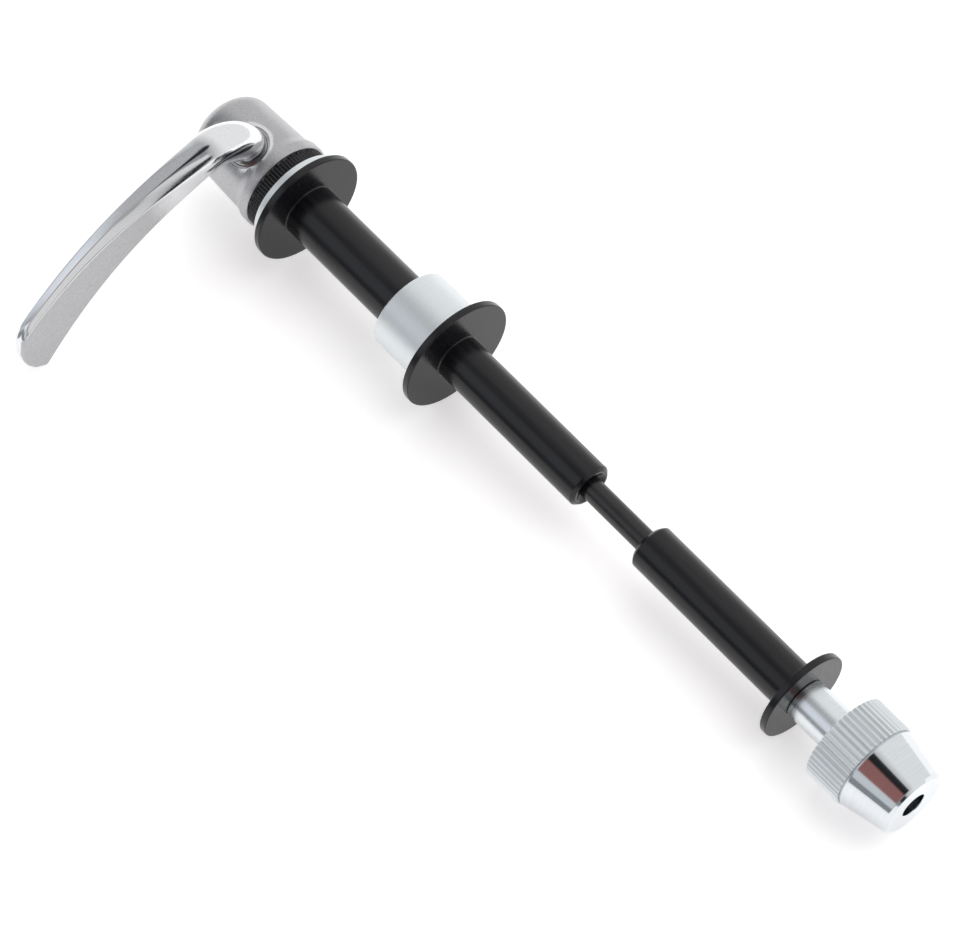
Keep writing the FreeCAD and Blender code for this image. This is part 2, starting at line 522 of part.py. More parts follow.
def loft_blade(body):
    """Blade from the round bar to a flat, bevelled and twisted section: it thins fast while its width grows.

    Its bevels start as wide as those of a regular octagon round the bar.
    """
    bar = "Sizes.lever_bar_diameter"
    first_bevel = f"({BAR_RADIUS} * (2 - sqrt(2)))"
    along, across, height = blade_middle(0)
    root = new_sketch(body, "blade_root", role="YZ_Plane", shift=(across, height, along))
    draw_split_circle(root, BAR_RADIUS)
    sections = []
    for step in (1, 2, 3, 4):
        share = step / 4
        along, across, height = blade_middle(share)
        twist = f"Sizes.blade_twist_angle * {share} ^ 2"
        section = new_sketch(body, f"blade_section_{step}", "YZ_Plane", (across, height, along), twist)
        thinning = (1 - share) ** 2
        thick = f"(Sizes.blade_thickness + ({bar} - Sizes.blade_thickness) * {thinning})"
        wide = f"({bar} + (Sizes.blade_width - {bar}) * sin({90 * share} deg))"
        bevel = f"(Sizes.blade_bevel + ({first_bevel} - Sizes.blade_bevel) * {thinning})"
        draw_bevelled_box(section, thick, wide, bevel)
        sections.append(section)
    add_feature(body, "AdditiveLoft", "blade", Profile=root, Sections=sections)


def round_tip(body):
    """Round end on the blade, seen along the axle: it touches the upper edge and cuts the lower one."""
    arm, radius = "(Sizes.lever_length - Sizes.elbow_radius)", "Sizes.blade_tip_radius"
    share = f"(1 - {radius} / {arm})"
    fall = f"atan(2 * Sizes.lever_drop * {share} / {arm})"
    along, _, height = blade_middle(share)
    lower = f"({radius} - Sizes.blade_width / 2 * cos({fall}))"
    middle = (f"{along} - {lower} * sin({fall})", f"{height} - {lower} * cos({fall})", "0")
    sketch = new_sketch(body, "tip_outline", role="XZ_Plane", shift=middle, twist=f"-{fall}")
    reach = f"2 * {radius}"
    r, far = number(radius), number(reach)
    circle = Part.Circle(FreeCAD.Vector(0, 0, 0), FreeCAD.Vector(0, 0, 1), r)
    arc = sketch.addGeometry(Part.ArcOfCircle(circle, -HALF_TURN / 2, HALF_TURN / 2), False)
    corners = ((0, r), (0, far), (far, far), (far, -far), (0, -far), (0, -r))
    points = [FreeCAD.Vector(x, y, 0) for x, y in corners]
    lines = [sketch.addGeometry(Part.LineSegment(a, b), False) for a, b in zip(points, points[1:])]
    plain = [("Coincident", arc, 3, -1, 1), ("Coincident", arc, 2, lines[0], 1),
             ("Coincident", lines[-1], 2, arc, 1)]
    plain += [("Coincident", a, 2, b, 1) for a, b in zip(lines, lines[1:])]
    plain += [("PointOnObject", lines[0], 1, -2), ("PointOnObject", lines[-1], 2, -2),
              ("Vertical", lines[0]), ("Horizontal", lines[1]), ("Vertical", lines[2]),
              ("Horizontal", lines[3])]
    sized = [(("Radius", arc), radius), (("DistanceY", -1, 1, lines[0], 2), reach),
             (("DistanceX", -1, 1, lines[1], 2), reach), (("DistanceY", lines[2], 2, -1, 1), reach)]
    constrain(sketch, plain, sized)
    cut_pocket(body, "tip", sketch, "2 * Sizes.lever_length", reverse=False, both_ways=True)


for make_piece in (make_cam_head, make_pivot_bush, make_serrated_ring, make_thrust_washer,
                   make_frame_sleeve, make_spacer_ring, make_left_hub_sleeve, make_draw_rod,
                   make_right_hub_sleeve, make_knurled_nut, make_cam_lever, make_pivot_clip):
    make_piece()
doc.recompute()

for item in doc.Objects:
    if "Invalid" in item.State or "Error" in item.State:
        raise RuntimeError(f"{item.Label} failed")
for body in pieces:
    if body.Shape.isNull() or not body.Shape.isValid():
        raise RuntimeError(f"{body.Label} has no valid shape")

os.makedirs("parts", exist_ok=True)
for body in pieces:
    body.Shape.exportStep(f"parts/{body.Label}.step")
    print(body.Label, len(body.Shape.Solids), round(body.Shape.Volume, 1))
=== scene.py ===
import json
import math
from collections import namedtuple

import bpy
import numpy as np
from mathutils import Matrix, Vector


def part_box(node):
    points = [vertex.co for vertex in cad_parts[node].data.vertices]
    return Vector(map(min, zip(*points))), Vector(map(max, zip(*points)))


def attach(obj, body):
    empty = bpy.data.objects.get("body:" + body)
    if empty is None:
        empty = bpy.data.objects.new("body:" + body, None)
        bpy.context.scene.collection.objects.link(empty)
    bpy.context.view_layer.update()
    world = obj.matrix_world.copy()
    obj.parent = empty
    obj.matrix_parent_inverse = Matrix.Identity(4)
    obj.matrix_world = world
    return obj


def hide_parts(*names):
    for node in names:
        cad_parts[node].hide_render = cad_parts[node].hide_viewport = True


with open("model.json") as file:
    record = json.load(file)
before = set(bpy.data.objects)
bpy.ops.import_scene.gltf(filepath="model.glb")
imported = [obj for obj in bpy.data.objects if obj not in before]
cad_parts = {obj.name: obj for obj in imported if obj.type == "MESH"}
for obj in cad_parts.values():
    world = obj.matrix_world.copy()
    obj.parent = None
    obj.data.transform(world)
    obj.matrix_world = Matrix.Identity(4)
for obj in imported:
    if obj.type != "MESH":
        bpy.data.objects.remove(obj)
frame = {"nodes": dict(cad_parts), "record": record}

bl_info = {
    "name": "Thru-axle adapter looks",
    "version": (1, 0, 0),
    "blender": (4, 5, 0),
    "location": "View3D > Sidebar > Adapter",
    "description": "Smooth surfaces, finishes and a studio for the thru-axle adapter",
    "category": "Object",
}

MM = 0.001

# What the record says of each node
NODE_SLOTS = {part["node"]: part["material_slot"] for part in frame["record"]["subparts"]}
BODIES = frame["record"]["behaviour"]["bodies"]
NODE_BODIES = {node: body for body, nodes in BODIES.items() for node in nodes}

# Faces round the head, the bush's hole, the pivot's pieces, the shaft's end and the rod
HEAD_SIDES = 240
RIM_SIDES = 160
PIVOT_SIDES = 96
SHAFT_SIDES = 64
ROD_SIDES = 48

# Rows along a piece, on the thread in one pitch, and the longest step between the head's rows
ROD_ROWS = 40
THREAD_ROWS = 8
DOME_ROWS = 24
FLARE_ROWS = 7
ELBOW_ROWS = 28
BLADE_ROWS = 72
TIP_ROWS = 8
HEAD_STEP = 0.3 * MM

# Columns round the lever: eight rounded corners, each followed by a straight side
CORNER_STEPS = 3
CORNER_POINTS = CORNER_STEPS + 3
SIDE_POINTS = 4
SECTION_POINTS = 8 * (CORNER_POINTS + SIDE_POINTS)

# A column and its mirror on the blade's other face add up to this, counted round the section
MIRROR = 3 * (CORNER_POINTS + SIDE_POINTS) + CORNER_POINTS - 1

# Columns of the blade's front face
FRONT_FACE = np.r_[SECTION_POINTS - SIDE_POINTS - 1:SECTION_POINTS, 0]

# Shares of the blade's length between which its tip is looked for, and how often they are halved
TIP_SEARCH = (0.6, 1.1)
HALVINGS = 40

# Shares of the blade's length where its satin face starts and over which it fades in
SATIN_START = 0.16
SATIN_FADE = 0.12

# Rows at the blade's tip that stay bright
TIP_BRIGHT_ROWS = 3

# How far in and up the middle of the round at the bar's foot stands, as a share of its radius
FOOT_MIDDLE = 0.3

# How satin the rim of the bush's hole is, and how polished the nut's neck is
RIM_SATIN = 0.3
NECK_POLISH = 0.6

# Seed of the painted glints on the teeth, turn past which the head's edges are sharp, and slack of a
# comparison
GLINT_SEED = 4
HEAD_SHARP = math.radians(35)
TOUCH = 1e-9

# Grain between these two amounts moves a finish from its dark shade to its light one
GRAIN_LOW = 0.3
GRAIN_HIGH = 0.7

# Height of the grain in a finish's bump
GRAIN_HEIGHT = 0.02 * MM

# Places of the Mix node's sockets, whose names repeat: first, second and result
MIX_SOCKETS = {"RGBA": (6, 7, 2), "FLOAT": (2, 3, 0)}

# Round patches in the studio that the bright pieces mirror: direction, spread in degrees and colour
STUDIO_PATCHES = (
    ((-0.390, -0.294, 0.873), 14, (0.92, 0.92, 0.94)),
    ((-0.400, -0.680, 0.610), 20, (1.70, 1.76, 1.90)),
    ((0.675, -0.349, 0.479), 13, (1.50, 1.50, 1.50)),
    ((0.156, -0.205, 0.966), 11, (0.03, 0.03, 0.035)),
    ((0.156, -0.860, 0.486), 15, (1.30, 1.36, 1.42)),
    ((0.156, -0.600, 0.785), 17, (0.60, 0.27, 0.25)),
    ((0.930, -0.220, 0.280), 9, (0.04, 0.04, 0.045)),
)

# Share of a patch's spread over which it fades, on each side of its edge
PATCH_FADE = 0.15

# A direction's Y from minus this to plus this counts as 0 to 1 for the studio's brightness
STUDIO_SIDE = 0.7

# Two shades and two roughnesses that a finish moves between with its grain
Coat = namedtuple("Coat", "dark light smooth rough")


# Surfaces

def soften(corners, radii, steps=4, side_share=0.4):
    """Closed outline with each corner rounded, as an array of (corner, point on its round, coordinate).

    A round of radius r touches both sides r / tan(half the inside angle) from its corner.
    Its middle lies on the angle's bisector, r / sin(half the inside angle) from the corner.
    A point is added a little way along each side, to keep the flat sides' shading flat.
    """
    corner = np.asarray(corners, float)
    radius = np.broadcast_to(np.asarray(radii, float), len(corner))[:, None]
    back = np.roll(corner, 1, axis=0) - corner
    ahead = np.roll(corner, -1, axis=0) - corner
    back /= np.linalg.norm(back, axis=1, keepdims=True)
    ahead /= np.linalg.norm(ahead, axis=1, keepdims=True)
    half = np.arccos(np.clip((back * ahead).sum(1, keepdims=True), -1, 1)) / 2
    reach = radius / np.tan(half)
    bisector = (back + ahead) / np.linalg.norm(back + ahead, axis=1, keepdims=True)
    middle = corner + bisector * radius / np.sin(half)
    start, end = corner + back * reach - middle, corner + ahead * reach - middle
    sweep = (np.pi - 2 * half)[:, None]
    part = np.linspace(0, 1, steps + 1)[None, :, None]
    arc = (np.sin((1 - part) * sweep) * start[:, None] + np.sin(part * sweep) * end[:, None]) / np.sin(sweep)
    lead = (start + back * reach * side_share)[:, None]
    tail = (end + ahead * reach * side_share)[:, None]
    return np.concatenate([lead, arc, tail], axis=1) + middle[:, None]


def divide(outline, longest):
    """Outline with even points added along every side that is longer than a given length."""
    parts = []
    for start, end in zip(outline, outline[1:]):
        count = max(1, int(np.ceil(np.linalg.norm(end - start) / longest)))
        parts.append(start + (end - start) * np.arange(count)[:, None] / count)
    return np.concatenate(parts + [outline[-1:]])


def even_angles(count):
    """Angles of a whole turn in equal steps."""
    return np.arange(count) * (2 * np.pi / count)


def about_axle(x, radius, angle):
    """Points (x, r cos a, r sin a) about X, for places x, radii r and angles a."""
    return np.stack(np.broadcast_arrays(x, radius * np.cos(angle), radius * np.sin(angle)), axis=-1)


def turn(outline, angle):
    """Surface of revolution about X: each outline point (x, r) carried round to each angle."""
    return about_axle(outline[:, 0, None], outline[:, 1, None], angle)


def cut_grooves(grid, angle, rim, depth, teeth, gap_share, band):
    """Turned surface whose radius stays under a ring of straight V grooves within a band of x.

    There r = min(r, rim - depth * max(0, 1 - d / gap_share)).
    Here d is the distance from the nearest groove's middle, in halves of a tooth's pitch.
    """
    place = (angle - np.pi / 2) * teeth / (2 * np.pi)
    away = 2 * np.abs(place - np.round(place))
    limit = rim - depth * np.maximum(0, 1 - away / gap_share)
    x, y, z = np.moveaxis(grid, -1, 0)
    radius = np.linalg.norm(grid[..., 1:], axis=-1)
    in_band = (x > band[0] - TOUCH) & (x < band[1] + TOUCH) & (radius > rim - 2 * depth)
    scale = np.where(in_band, np.minimum(radius, limit) / radius, 1)
    return np.stack([x, y * scale, z * scale], axis=-1)


def tooth_angles(teeth):
    """Eight angles per tooth, close together at its groove's bottom and at its edges."""
    steps = np.array([-0.5, -0.44, -0.40, -0.2, -0.03, 0.03, 0.2, 0.40])
    return np.pi / 2 + (np.arange(teeth)[:, None] + steps).reshape(-1) * (2 * np.pi / teeth)


def wrap(grid, close_rows=True):
    """Points and quads of a grid whose columns close on themselves, and its rows too where asked."""
    rows, columns = grid.shape[:2]
    row = np.arange(rows if close_rows else rows - 1)[:, None] * columns
    column = np.arange(columns)
    next_row, next_column = (row + columns) % (rows * columns), (column + 1) % columns
    corners = [row + column, row + next_column, next_row + next_column, next_row + column]
    return grid.reshape(-1, 3), np.stack(corners, axis=-1).reshape(-1, 4).tolist()


def wrap_capped(grid, start=None, end=None):
    """Points and faces of a tube of closed rows, with a fan to a point at its start, its end or both."""
    rows, columns = grid.shape[:2]
    points, faces = wrap(grid, close_rows=False)
    column = np.arange(columns)
    next_column = (column + 1) % columns
    if start is not None:
        tip = np.full(columns, len(points))
        faces += np.stack([tip, next_column, column], axis=-1).tolist()
        points = np.vstack([points, start])
    if end is not None:
        tip, last = np.full(columns, len(points)), (rows - 1) * columns
        faces += np.stack([last + column, last + next_column, tip], axis=-1).tolist()
        points = np.vstack([points, end])
    return points, faces


def turn_solid(outline, angle):
    """Closed surface of revolution of an outline that starts and ends on X."""
    return wrap_capped(turn(outline[1:-1], angle), (outline[0, 0], 0, 0), (outline[-1, 0], 0, 0))


def turn_rounded(corners, radii, sides):
    """Closed surface of revolution of an outline that starts and ends on X, with rounds between them."""
    rounds = soften(corners, radii)[1:-1].reshape(-1, 2)
    return turn_solid(np.vstack([corners[:1], rounds, corners[-1:]]), even_angles(sides))


def turn_ring(corners, radii, sides, way=1):
    """Closed surface of revolution of a rounded outline that stays clear of X.

    The way is -1 for corners that are listed the other way round, so that the faces still point outwards.
    """
    outline = soften(corners, radii).reshape(-1, 2)[::way]
    return wrap(turn(outline, even_angles(sides)))


def join(*shells):
    """Points and faces of several closed surfaces in one list each."""
    points, faces, first = [], [], 0
    for shell_points, shell_faces in shells:
        points.append(shell_points)
        faces += [[corner + first for corner in face] for face in shell_faces]
        first += len(shell_points)
    return np.concatenate(points), faces


def moved(shell, placement):
    """Points and faces of a surface after a 4 by 4 placement."""
    points, faces = shell
    matrix = np.asarray(placement)
    return points @ matrix[:3, :3].T + matrix[:3, 3], faces


def stood(shell):
    """Points and faces of a surface made about X, turned to stand about Z."""
    points, faces = shell
    return points[:, [1, 2, 0]], faces


def pivot_frame(look, splay=0.0):
    """Placement whose Z is the pivot's axis, and whose X is the lever's arm after a turn by the splay."""
    return (Matrix.Translation((look.pivot_place, 0, 0)) @ Matrix.Rotation(look.lean, 4, "X")
            @ Matrix.Rotation(splay, 4, "Z"))


def new_mesh(name, shell):
    """Smooth-shaded mesh from points and faces."""
    points, faces = shell
    mesh = bpy.data.meshes.new(name)
    mesh.from_pydata(points, [], faces)
    mesh.validate()
    mesh.shade_smooth()
    return mesh


def add_piece(node, mesh):
    """Object for a mesh that stands for a CAD node: it rides on the node's body and takes its finish."""
    slot = NODE_SLOTS[node]
    mesh.materials.clear()
    mesh.materials.append(bpy.data.materials[f"{slot}_finish"])
    piece = bpy.data.objects.new(f"{node}_look", mesh)
    bpy.context.scene.collection.objects.link(piece)
    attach(piece, NODE_BODIES[node])
    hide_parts(node)
    return piece


def set_mask(mesh, name, amounts):
    """Number on each of a mesh's points that a finish reads."""
    attribute = mesh.attributes.new(name, "FLOAT", "POINT")
    attribute.data.foreach_set("value", np.asarray(amounts, np.float32))


# Finishes

def add_node(tree, kind, **inputs):
    """Shader node with some of its inputs set by name."""
    node = tree.nodes.new(f"ShaderNode{kind}")
    for name, amount in inputs.items():
        node.inputs[name.replace("_", " ")].default_value = amount
    return node


def add_grain(tree, scale, detail):
    """Noise on an object's own coordinates, stretched by a scale for each axis."""
    place = add_node(tree, "TexCoord")
    stretch = add_node(tree, "Mapping", Scale=scale)
    noise = add_node(tree, "TexNoise", Scale=1.0, Detail=detail)
    tree.links.new(place.outputs["Object"], stretch.inputs["Vector"])
    tree.links.new(stretch.outputs["Vector"], noise.inputs["Vector"])
    return noise.outputs["Fac"]


def shade(tree, grain, dark, light):
    """Colour that moves between two shades with the grain."""
    ramp = add_node(tree, "ValToRGB")
    for element, position, colour in zip(ramp.color_ramp.elements, (GRAIN_LOW, GRAIN_HIGH), (dark, light)):
        element.position, element.color = position, (*colour, 1)
    tree.links.new(grain, ramp.inputs["Fac"])
    return ramp.outputs["Color"]


def spread(tree, grain, low, high):
    """Number that moves between two amounts with the grain."""
    node = add_node(tree, "MapRange", From_Min=GRAIN_LOW, From_Max=GRAIN_HIGH, To_Min=low, To_Max=high)
    tree.links.new(grain, node.inputs["Value"])
    return node.outputs["Result"]


def mix(tree, kind, amount, first, second):
    """Blend of two colours or two numbers by an amount from 0 to 1, where the second may be a fixed one."""
    node = add_node(tree, "Mix")
    node.data_type = kind
    first_place, second_place, result_place = MIX_SOCKETS[kind]
    tree.links.new(amount, node.inputs[0])
    tree.links.new(first, node.inputs[first_place])
    if isinstance(second, bpy.types.NodeSocket):
        tree.links.new(second, node.inputs[second_place])
    else:
        node.inputs[second_place].default_value = second
    return node.outputs[result_place]


def make_finish(name, metallic, grain, detail, lift, plain, treated=None, mask=None, gloss=0.5):
    """Finish with grain in its colour, roughness and height, and a second coat where a mask says so.

    The grain is a scale for each axis, and the mask the name of an attribute on the mesh's points.
    """
    material = bpy.data.materials.new(f"{name}_finish")
    material.use_nodes = True
    tree = material.node_tree
    shader = tree.nodes["Principled BSDF"]
    shader.inputs["Metallic"].default_value = metallic
    shader.inputs["Specular IOR Level"].default_value = gloss
    noise = add_grain(tree, grain, detail)
    colour = shade(tree, noise, plain.dark, plain.light)
    rough = spread(tree, noise, plain.smooth, plain.rough)
    bump = add_node(tree, "Bump", Strength=lift, Distance=GRAIN_HEIGHT)
    if treated:
        where = add_node(tree, "Attribute")
        where.attribute_name = mask
        amount = where.outputs["Fac"]
        colour = mix(tree, "RGBA", amount, colour, shade(tree, noise, treated.dark, treated.light))
        rough = mix(tree, "FLOAT", amount, rough, spread(tree, noise, treated.smooth, treated.rough))
    tree.links.new(colour, shader.inputs["Base Color"])
    tree.links.new(rough, shader.inputs["Roughness"])
    tree.links.new(noise, bump.inputs["Height"])
    tree.links.new(bump.outputs["Normal"], shader.inputs["Normal"])
    return material, shader


def make_chrome(finish):
    """Chrome plate: polished, with a satin coat on the head and on the blade's front face."""
    make_finish("chrome", metallic=1.0, grain=(2600, 2600, 2600), detail=3.0, lift=0.05,
                plain=Coat(finish.chrome_dark, finish.chrome_light, 0.10, 0.15),
                treated=Coat(finish.satin_dark, finish.satin_light, 0.28, 0.38), mask="satin")


def make_zinc(finish):
    """Zinc plate with fine turning marks: dull, but polished on the nut's nose and partly on its neck."""
    make_finish("zinc", metallic=1.0, grain=(9000, 150, 150), detail=2.0, lift=0.05,
                plain=Coat(finish.zinc_dark, finish.zinc_light, 0.42, 0.50),
                treated=Coat(finish.polish_dark, finish.polish_light, 0.09, 0.13), mask="polish")


def make_black_sleeve(finish):
    """Semi-gloss black of the sleeves."""
    make_finish("black_sleeve", metallic=0.0, grain=(70, 1000, 1000), detail=3.0, lift=0.06,
                plain=Coat(finish.sleeve_dark, finish.sleeve_light, 0.18, 0.27), gloss=0.35)


def make_black_steel(finish):
    """Semi-gloss black of the rod and the serrated ring, with painted glints in a bare-steel colour on the
    ring's teeth.
    """
    make_finish("black_steel", metallic=0.0, grain=(400, 1200, 1200), detail=3.0, lift=0.06,
                plain=Coat(finish.steel_dark, finish.steel_light, 0.22, 0.32),
                treated=Coat(finish.glint_dark, finish.glint_light, 0.30, 0.40), mask="painted_glint")


def make_bush_metal(finish):
    """Polished metal of the bush."""
    make_finish("bush", metallic=1.0, grain=(700, 700, 700), detail=3.0, lift=0.05,
                plain=Coat(finish.bush_dark, finish.bush_light, 0.16, 0.24))


def make_floor_paper(stage):
    """White paper of the floor, which gives off a little light."""
    material, shader = make_finish("floor", metallic=0.0, grain=(40, 40, 40), detail=3.0, lift=0.0,
                                   plain=Coat(stage.floor_dark, stage.floor_light, 0.6, 0.7), gloss=0.1)
    shader.inputs["Emission Color"].default_value = (*stage.floor_glow_colour, 1)
    shader.inputs["Emission Strength"].default_value = stage.floor_glow
    return material


# Settings

def length(name, meaning, amount):
    """Length property in metres from an amount in millimetres."""
    return bpy.props.FloatProperty(
        name=name, description=meaning, default=amount * MM, unit="LENGTH", precision=5)


def angle_size(name, meaning, degrees):
    """Angle property from an amount in degrees."""
    return bpy.props.FloatProperty(
        name=name, description=meaning, default=math.radians(degrees), subtype="ANGLE")


def position(name, meaning, metres):
    """Place property in metres."""
    return bpy.props.FloatVectorProperty(name=name, description=meaning, default=metres, unit="LENGTH")


def tint(name, meaning, colour):
    """Colour property from linear red, green and blue."""
    return bpy.props.FloatVectorProperty(name=name, description=meaning, default=colour, subtype="COLOR")


class AdapterFinish(bpy.types.PropertyGroup):
    """Shades of the finishes: each moves between a dark and a light shade with its grain."""

    chrome_dark: tint("Chrome, dark", "Polished chrome", (0.72, 0.73, 0.74))
    chrome_light: tint("Chrome, light", "Polished chrome", (0.78, 0.79, 0.80))
    satin_dark: tint("Satin, dark", "Chrome of the head and the blade's front", (0.38, 0.38, 0.39))
    satin_light: tint("Satin, light", "Chrome of the head and the blade's front", (0.48, 0.48, 0.49))
    zinc_dark: tint("Zinc, dark", "Dull zinc", (0.70, 0.74, 0.75))
    zinc_light: tint("Zinc, light", "Dull zinc", (0.77, 0.81, 0.82))
    polish_dark: tint("Polished zinc, dark", "Zinc of the nut's nose", (0.64, 0.67, 0.69))
    polish_light: tint("Polished zinc, light", "Zinc of the nut's nose", (0.70, 0.73, 0.75))
    sleeve_dark: tint("Sleeve black, dark", "Black of the sleeves", (0.003, 0.003, 0.004))
    sleeve_light: tint("Sleeve black, light", "Black of the sleeves", (0.008, 0.008, 0.010))
    steel_dark: tint("Steel black, dark", "Black of the rod and the ring", (0.004, 0.004, 0.005))
    steel_light: tint("Steel black, light", "Black of the rod and the ring", (0.010, 0.010, 0.011))
    # Painted glints: a bright bare-steel colour on the ring's tooth crests that stands in for highlights
    glint_dark: tint("Painted glint, dark", "Painted glints on the ring's teeth", (0.45, 0.46, 0.47))
    glint_light: tint("Painted glint, light", "Painted glints on the ring's teeth", (0.60, 0.61, 0.62))
    bush_dark: tint("Bush, dark", "Metal of the bush", (0.56, 0.54, 0.54))
    bush_light: tint("Bush, light", "Metal of the bush", (0.64, 0.62, 0.62))


class AdapterTurned(bpy.types.PropertyGroup):
    """Sizes of the turned pieces."""

    sides: bpy.props.IntProperty(name="Sides", description="Faces round a turned piece", default=160)
    edge: length("Edge round", "Radius of a turned edge", 0.25)
    root: length("Root round", "Radius where a tube meets its flange", 0.3)
    flange: length("Flange thickness", "Thickness of a flange", 1.6)
    bore: length("Bore radius", "Radius of a sleeve's hole for the rod", 2.55)
    frame_tube: length("Frame tube radius", "Radius of the large tube", 6.0)
    spacer_bore: length("Spacer bore radius", "Radius of the spacer's hole", 6.1)
    hub_tube: length("Hub tube radius", "Radius of the small tubes", 5.0)
    mouth: length("Mouth radius", "Radius of a hub tube's countersink", 3.8)
    chamfer: length("Tube chamfer", "Chamfer round a hub tube's end", 0.7)
    washer_extra: length("Washer extra", "Washer's thickness beyond the solid's, on the ring's side", 0.6)
    seat: length("Seat gap", "Gap between the frame sleeve's end and the next flange", 0.01)


class AdapterToothed(bpy.types.PropertyGroup):
    """Sizes of the nut and the serrated ring."""

    gap_share: bpy.props.FloatProperty(
        name="Gap share", description="Groove's share of a tooth's pitch", default=0.84)
    depth: length("Tooth depth", "Depth of a groove", 0.45)
    edge: length("Edge round", "Radius of a turned edge", 0.2)
    fine_edge: length("Fine edge round", "Radius of an edge inside a groove or a hole", 0.05)
    ring_teeth: bpy.props.IntProperty(name="Ring teeth", description="Teeth round the ring", default=84)
    ring_spigot: length("Ring spigot length", "Part of the ring inside the head", 1.0)
    ring_spigot_radius: length("Ring spigot radius", "Part of the ring inside the head", 7.0)
    nut_teeth: bpy.props.IntProperty(
        name="Nut teeth", description="Teeth round the nut's knurled band", default=48)
    nut_bore: length("Nut bore radius", "Hole for the rod's thread", 2.5)
    nut_mouth: length("Nut mouth radius", "Hole in the nose's end", 2.75)
    rod_recess: length("Rod recess", "From the nut's end in to the rod's tip", 4.6)
    neck: length("Neck radius", "Nut beside the right flange", 4.5)
    neck_length: length("Neck length", "Nut beside the right flange", 10.9)
    neck_fade: length("Neck fade", "Stretch over which the neck's polish ends at the knurl", 0.1)
    knurl_length: length("Knurl length", "Knurled band", 8.5)
    relief: length("Relief radius", "Groove between the knurl and the nose", 9.0)
    relief_width: length("Relief width", "Groove between the knurl and the nose", 0.3)
    shoulder: length("Shoulder radius", "Nose beside the groove", 9.45)
    nose: length("Nose radius", "Nose at its end", 7.45)
    nose_chamfer: length("Nose chamfer", "Chamfer round the nose's end", 0.6)


class AdapterCam(bpy.types.PropertyGroup):
    """Sizes of the head, the pivot, the lever and the rod."""

    pivot_place: length("Pivot place", "Pivot along the axle", -62.5)
    lean: angle_size("Lean", "Turn of the pivot about the axle", 20)
    splay: angle_size("Splay", "Turn of the lever's arm about the pivot", -96)
    bar: length("Bar radius", "Lever's shaft and elbow", 4.1)
    elbow_start: length("Elbow start", "From the axle up to the bend", 10.05)
    elbow: length("Elbow radius", "Bend of the bar's middle", 8.0)
    lever_length: length("Lever length", "From the pivot to the tip", 63.3)
    bow: length("Bow radius", "Curve of the blade", 220.0)
    drop: length("Drop", "Fall of the blade's middle", 7.5)
    width: length("Blade width", "Blade near its tip", 12.9)
    thickness: length("Blade thickness", "Blade near its tip", 3.4)
    bevel: length("Blade bevel", "Bevel along the blade's edges near its tip", 0.9)
    blade_edge: length("Blade edge round", "Rounding of the bevels' edges and of the bar's foot", 0.35)
    twist: angle_size("Blade twist", "Turn of the blade's section near its tip", 9)
    tip: length("Tip radius", "Round of the blade's tip", 7.6)
    tip_edge: length("Tip edge round", "Rounding of the tip's edge", 1.5)
    tip_corner: length("Tip corner round", "Round between the tip and the blade's lower edge", 4.0)
    cam: length("Cam radius", "Eccentric on the shaft", 3.05)
    cam_edge: length("Cam edge round", "Rounding of the cam's edges", 0.2)
    throw: length("Cam throw", "From the pivot's axis to the cam's axis", 1.0)
    cam_half: length("Cam half length", "From the axle to the cam's ends", 2.8)
    shaft_end: length("Shaft end radius", "Shaft beyond the cam", 2.0)
    shaft_length: length("Shaft end length", "From the axle to the shaft's end", 10.75)
    shaft_edge: length("Shaft edge round", "Rounding of the shaft's edges", 0.1)
    groove: length("Groove radius", "Shaft in the clip's groove", 1.5)
    clip_top: length("Clip place", "From the axle to the clip", 9.05)
    clip_thickness: length("Clip thickness", "Clip and its groove", 0.8)
    bush: length("Bush radius", "Bush outside", 4.65)
    bush_bore: length("Bush bore", "Bush inside", 4.15)
    bush_top: length("Bush top", "From the axle to the bush's outer end", 8.55)
    bush_length: length("Bush length", "Bush along the pivot", 5.2)
    bush_edge: length("Bush edge round", "Rounding of the bush's edges", 0.12)
    bush_hole: length("Bush hole", "Hole in the head for the bush", 4.67)
    hole_edge: length("Hole edge round", "Rounding of that hole's rim and of the rod's eye", 0.45)
    rim_sink: length("Rim sink", "Depth of that rim under the head's taper", 0.1)
    rim_turn: angle_size("Rim turn", "Arc of that rim's rounding", 80)
    shaft_hole: length("Shaft hole", "Hole in the head for the shaft's end", 2.05)
    spot_face: length("Spot face radius", "Flat under the clip", 4.2)
    spot_depth: length("Spot face place", "From the axle to the flat", 8.95)
    crown: length("Crown radius", "Sphere of the head's end", 12.0)
    corner: length("Corner radius", "Round between the crown and the taper", 4.6)
    dome_edge: length("Dome edge radius", "Head where its taper starts", 9.5)
    taper: length("Taper radius", "Head where its flare starts", 9.95)
    flare_length: length("Flare length", "From the taper to the lip", 1.9)
    flare_round: length("Flare round", "Round between the taper and the flare", 3.0)
    lip: length("Lip radius", "Head at its open end", 10.6)
    lip_length: length("Lip length", "Straight part of the lip", 2.2)
    lip_extra: length("Lip extra", "Lip's length beyond the solid's, over the ring", 0.5)
    lip_round: length("Lip round", "Round between the flare and the lip", 1.2)
    lip_edge: length("Lip edge round", "Rounding of the lip's outer edge", 0.4)
    cavity: length("Cavity radius", "Inside of the head", 7.02)
    cavity_end: length("Cavity end", "From the dome's top to the cavity", 8.47)
    cavity_edge: length("Cavity edge round", "Rounding of the cavity's edges", 0.3)
    rod: length("Rod radius", "Draw rod", 2.45)
    rod_start: length("Rod start", "Rod's end in the eye, from the pivot", 3.3)
    thread_length: length("Thread length", "Threaded end of the rod", 32.0)
    thread_pitch: length("Thread pitch", "Rise of the thread in one turn", 0.8)
    thread_depth: length("Thread depth", "Depth of the thread", 0.35)
    eye: length("Eye radius", "Outside of the rod's eye", 5.13)
    slot: length("Slot radius", "Inside of the rod's eye", 3.33)
    eye_half: length("Eye half thickness", "Half of the eye along the pivot", 2.5)


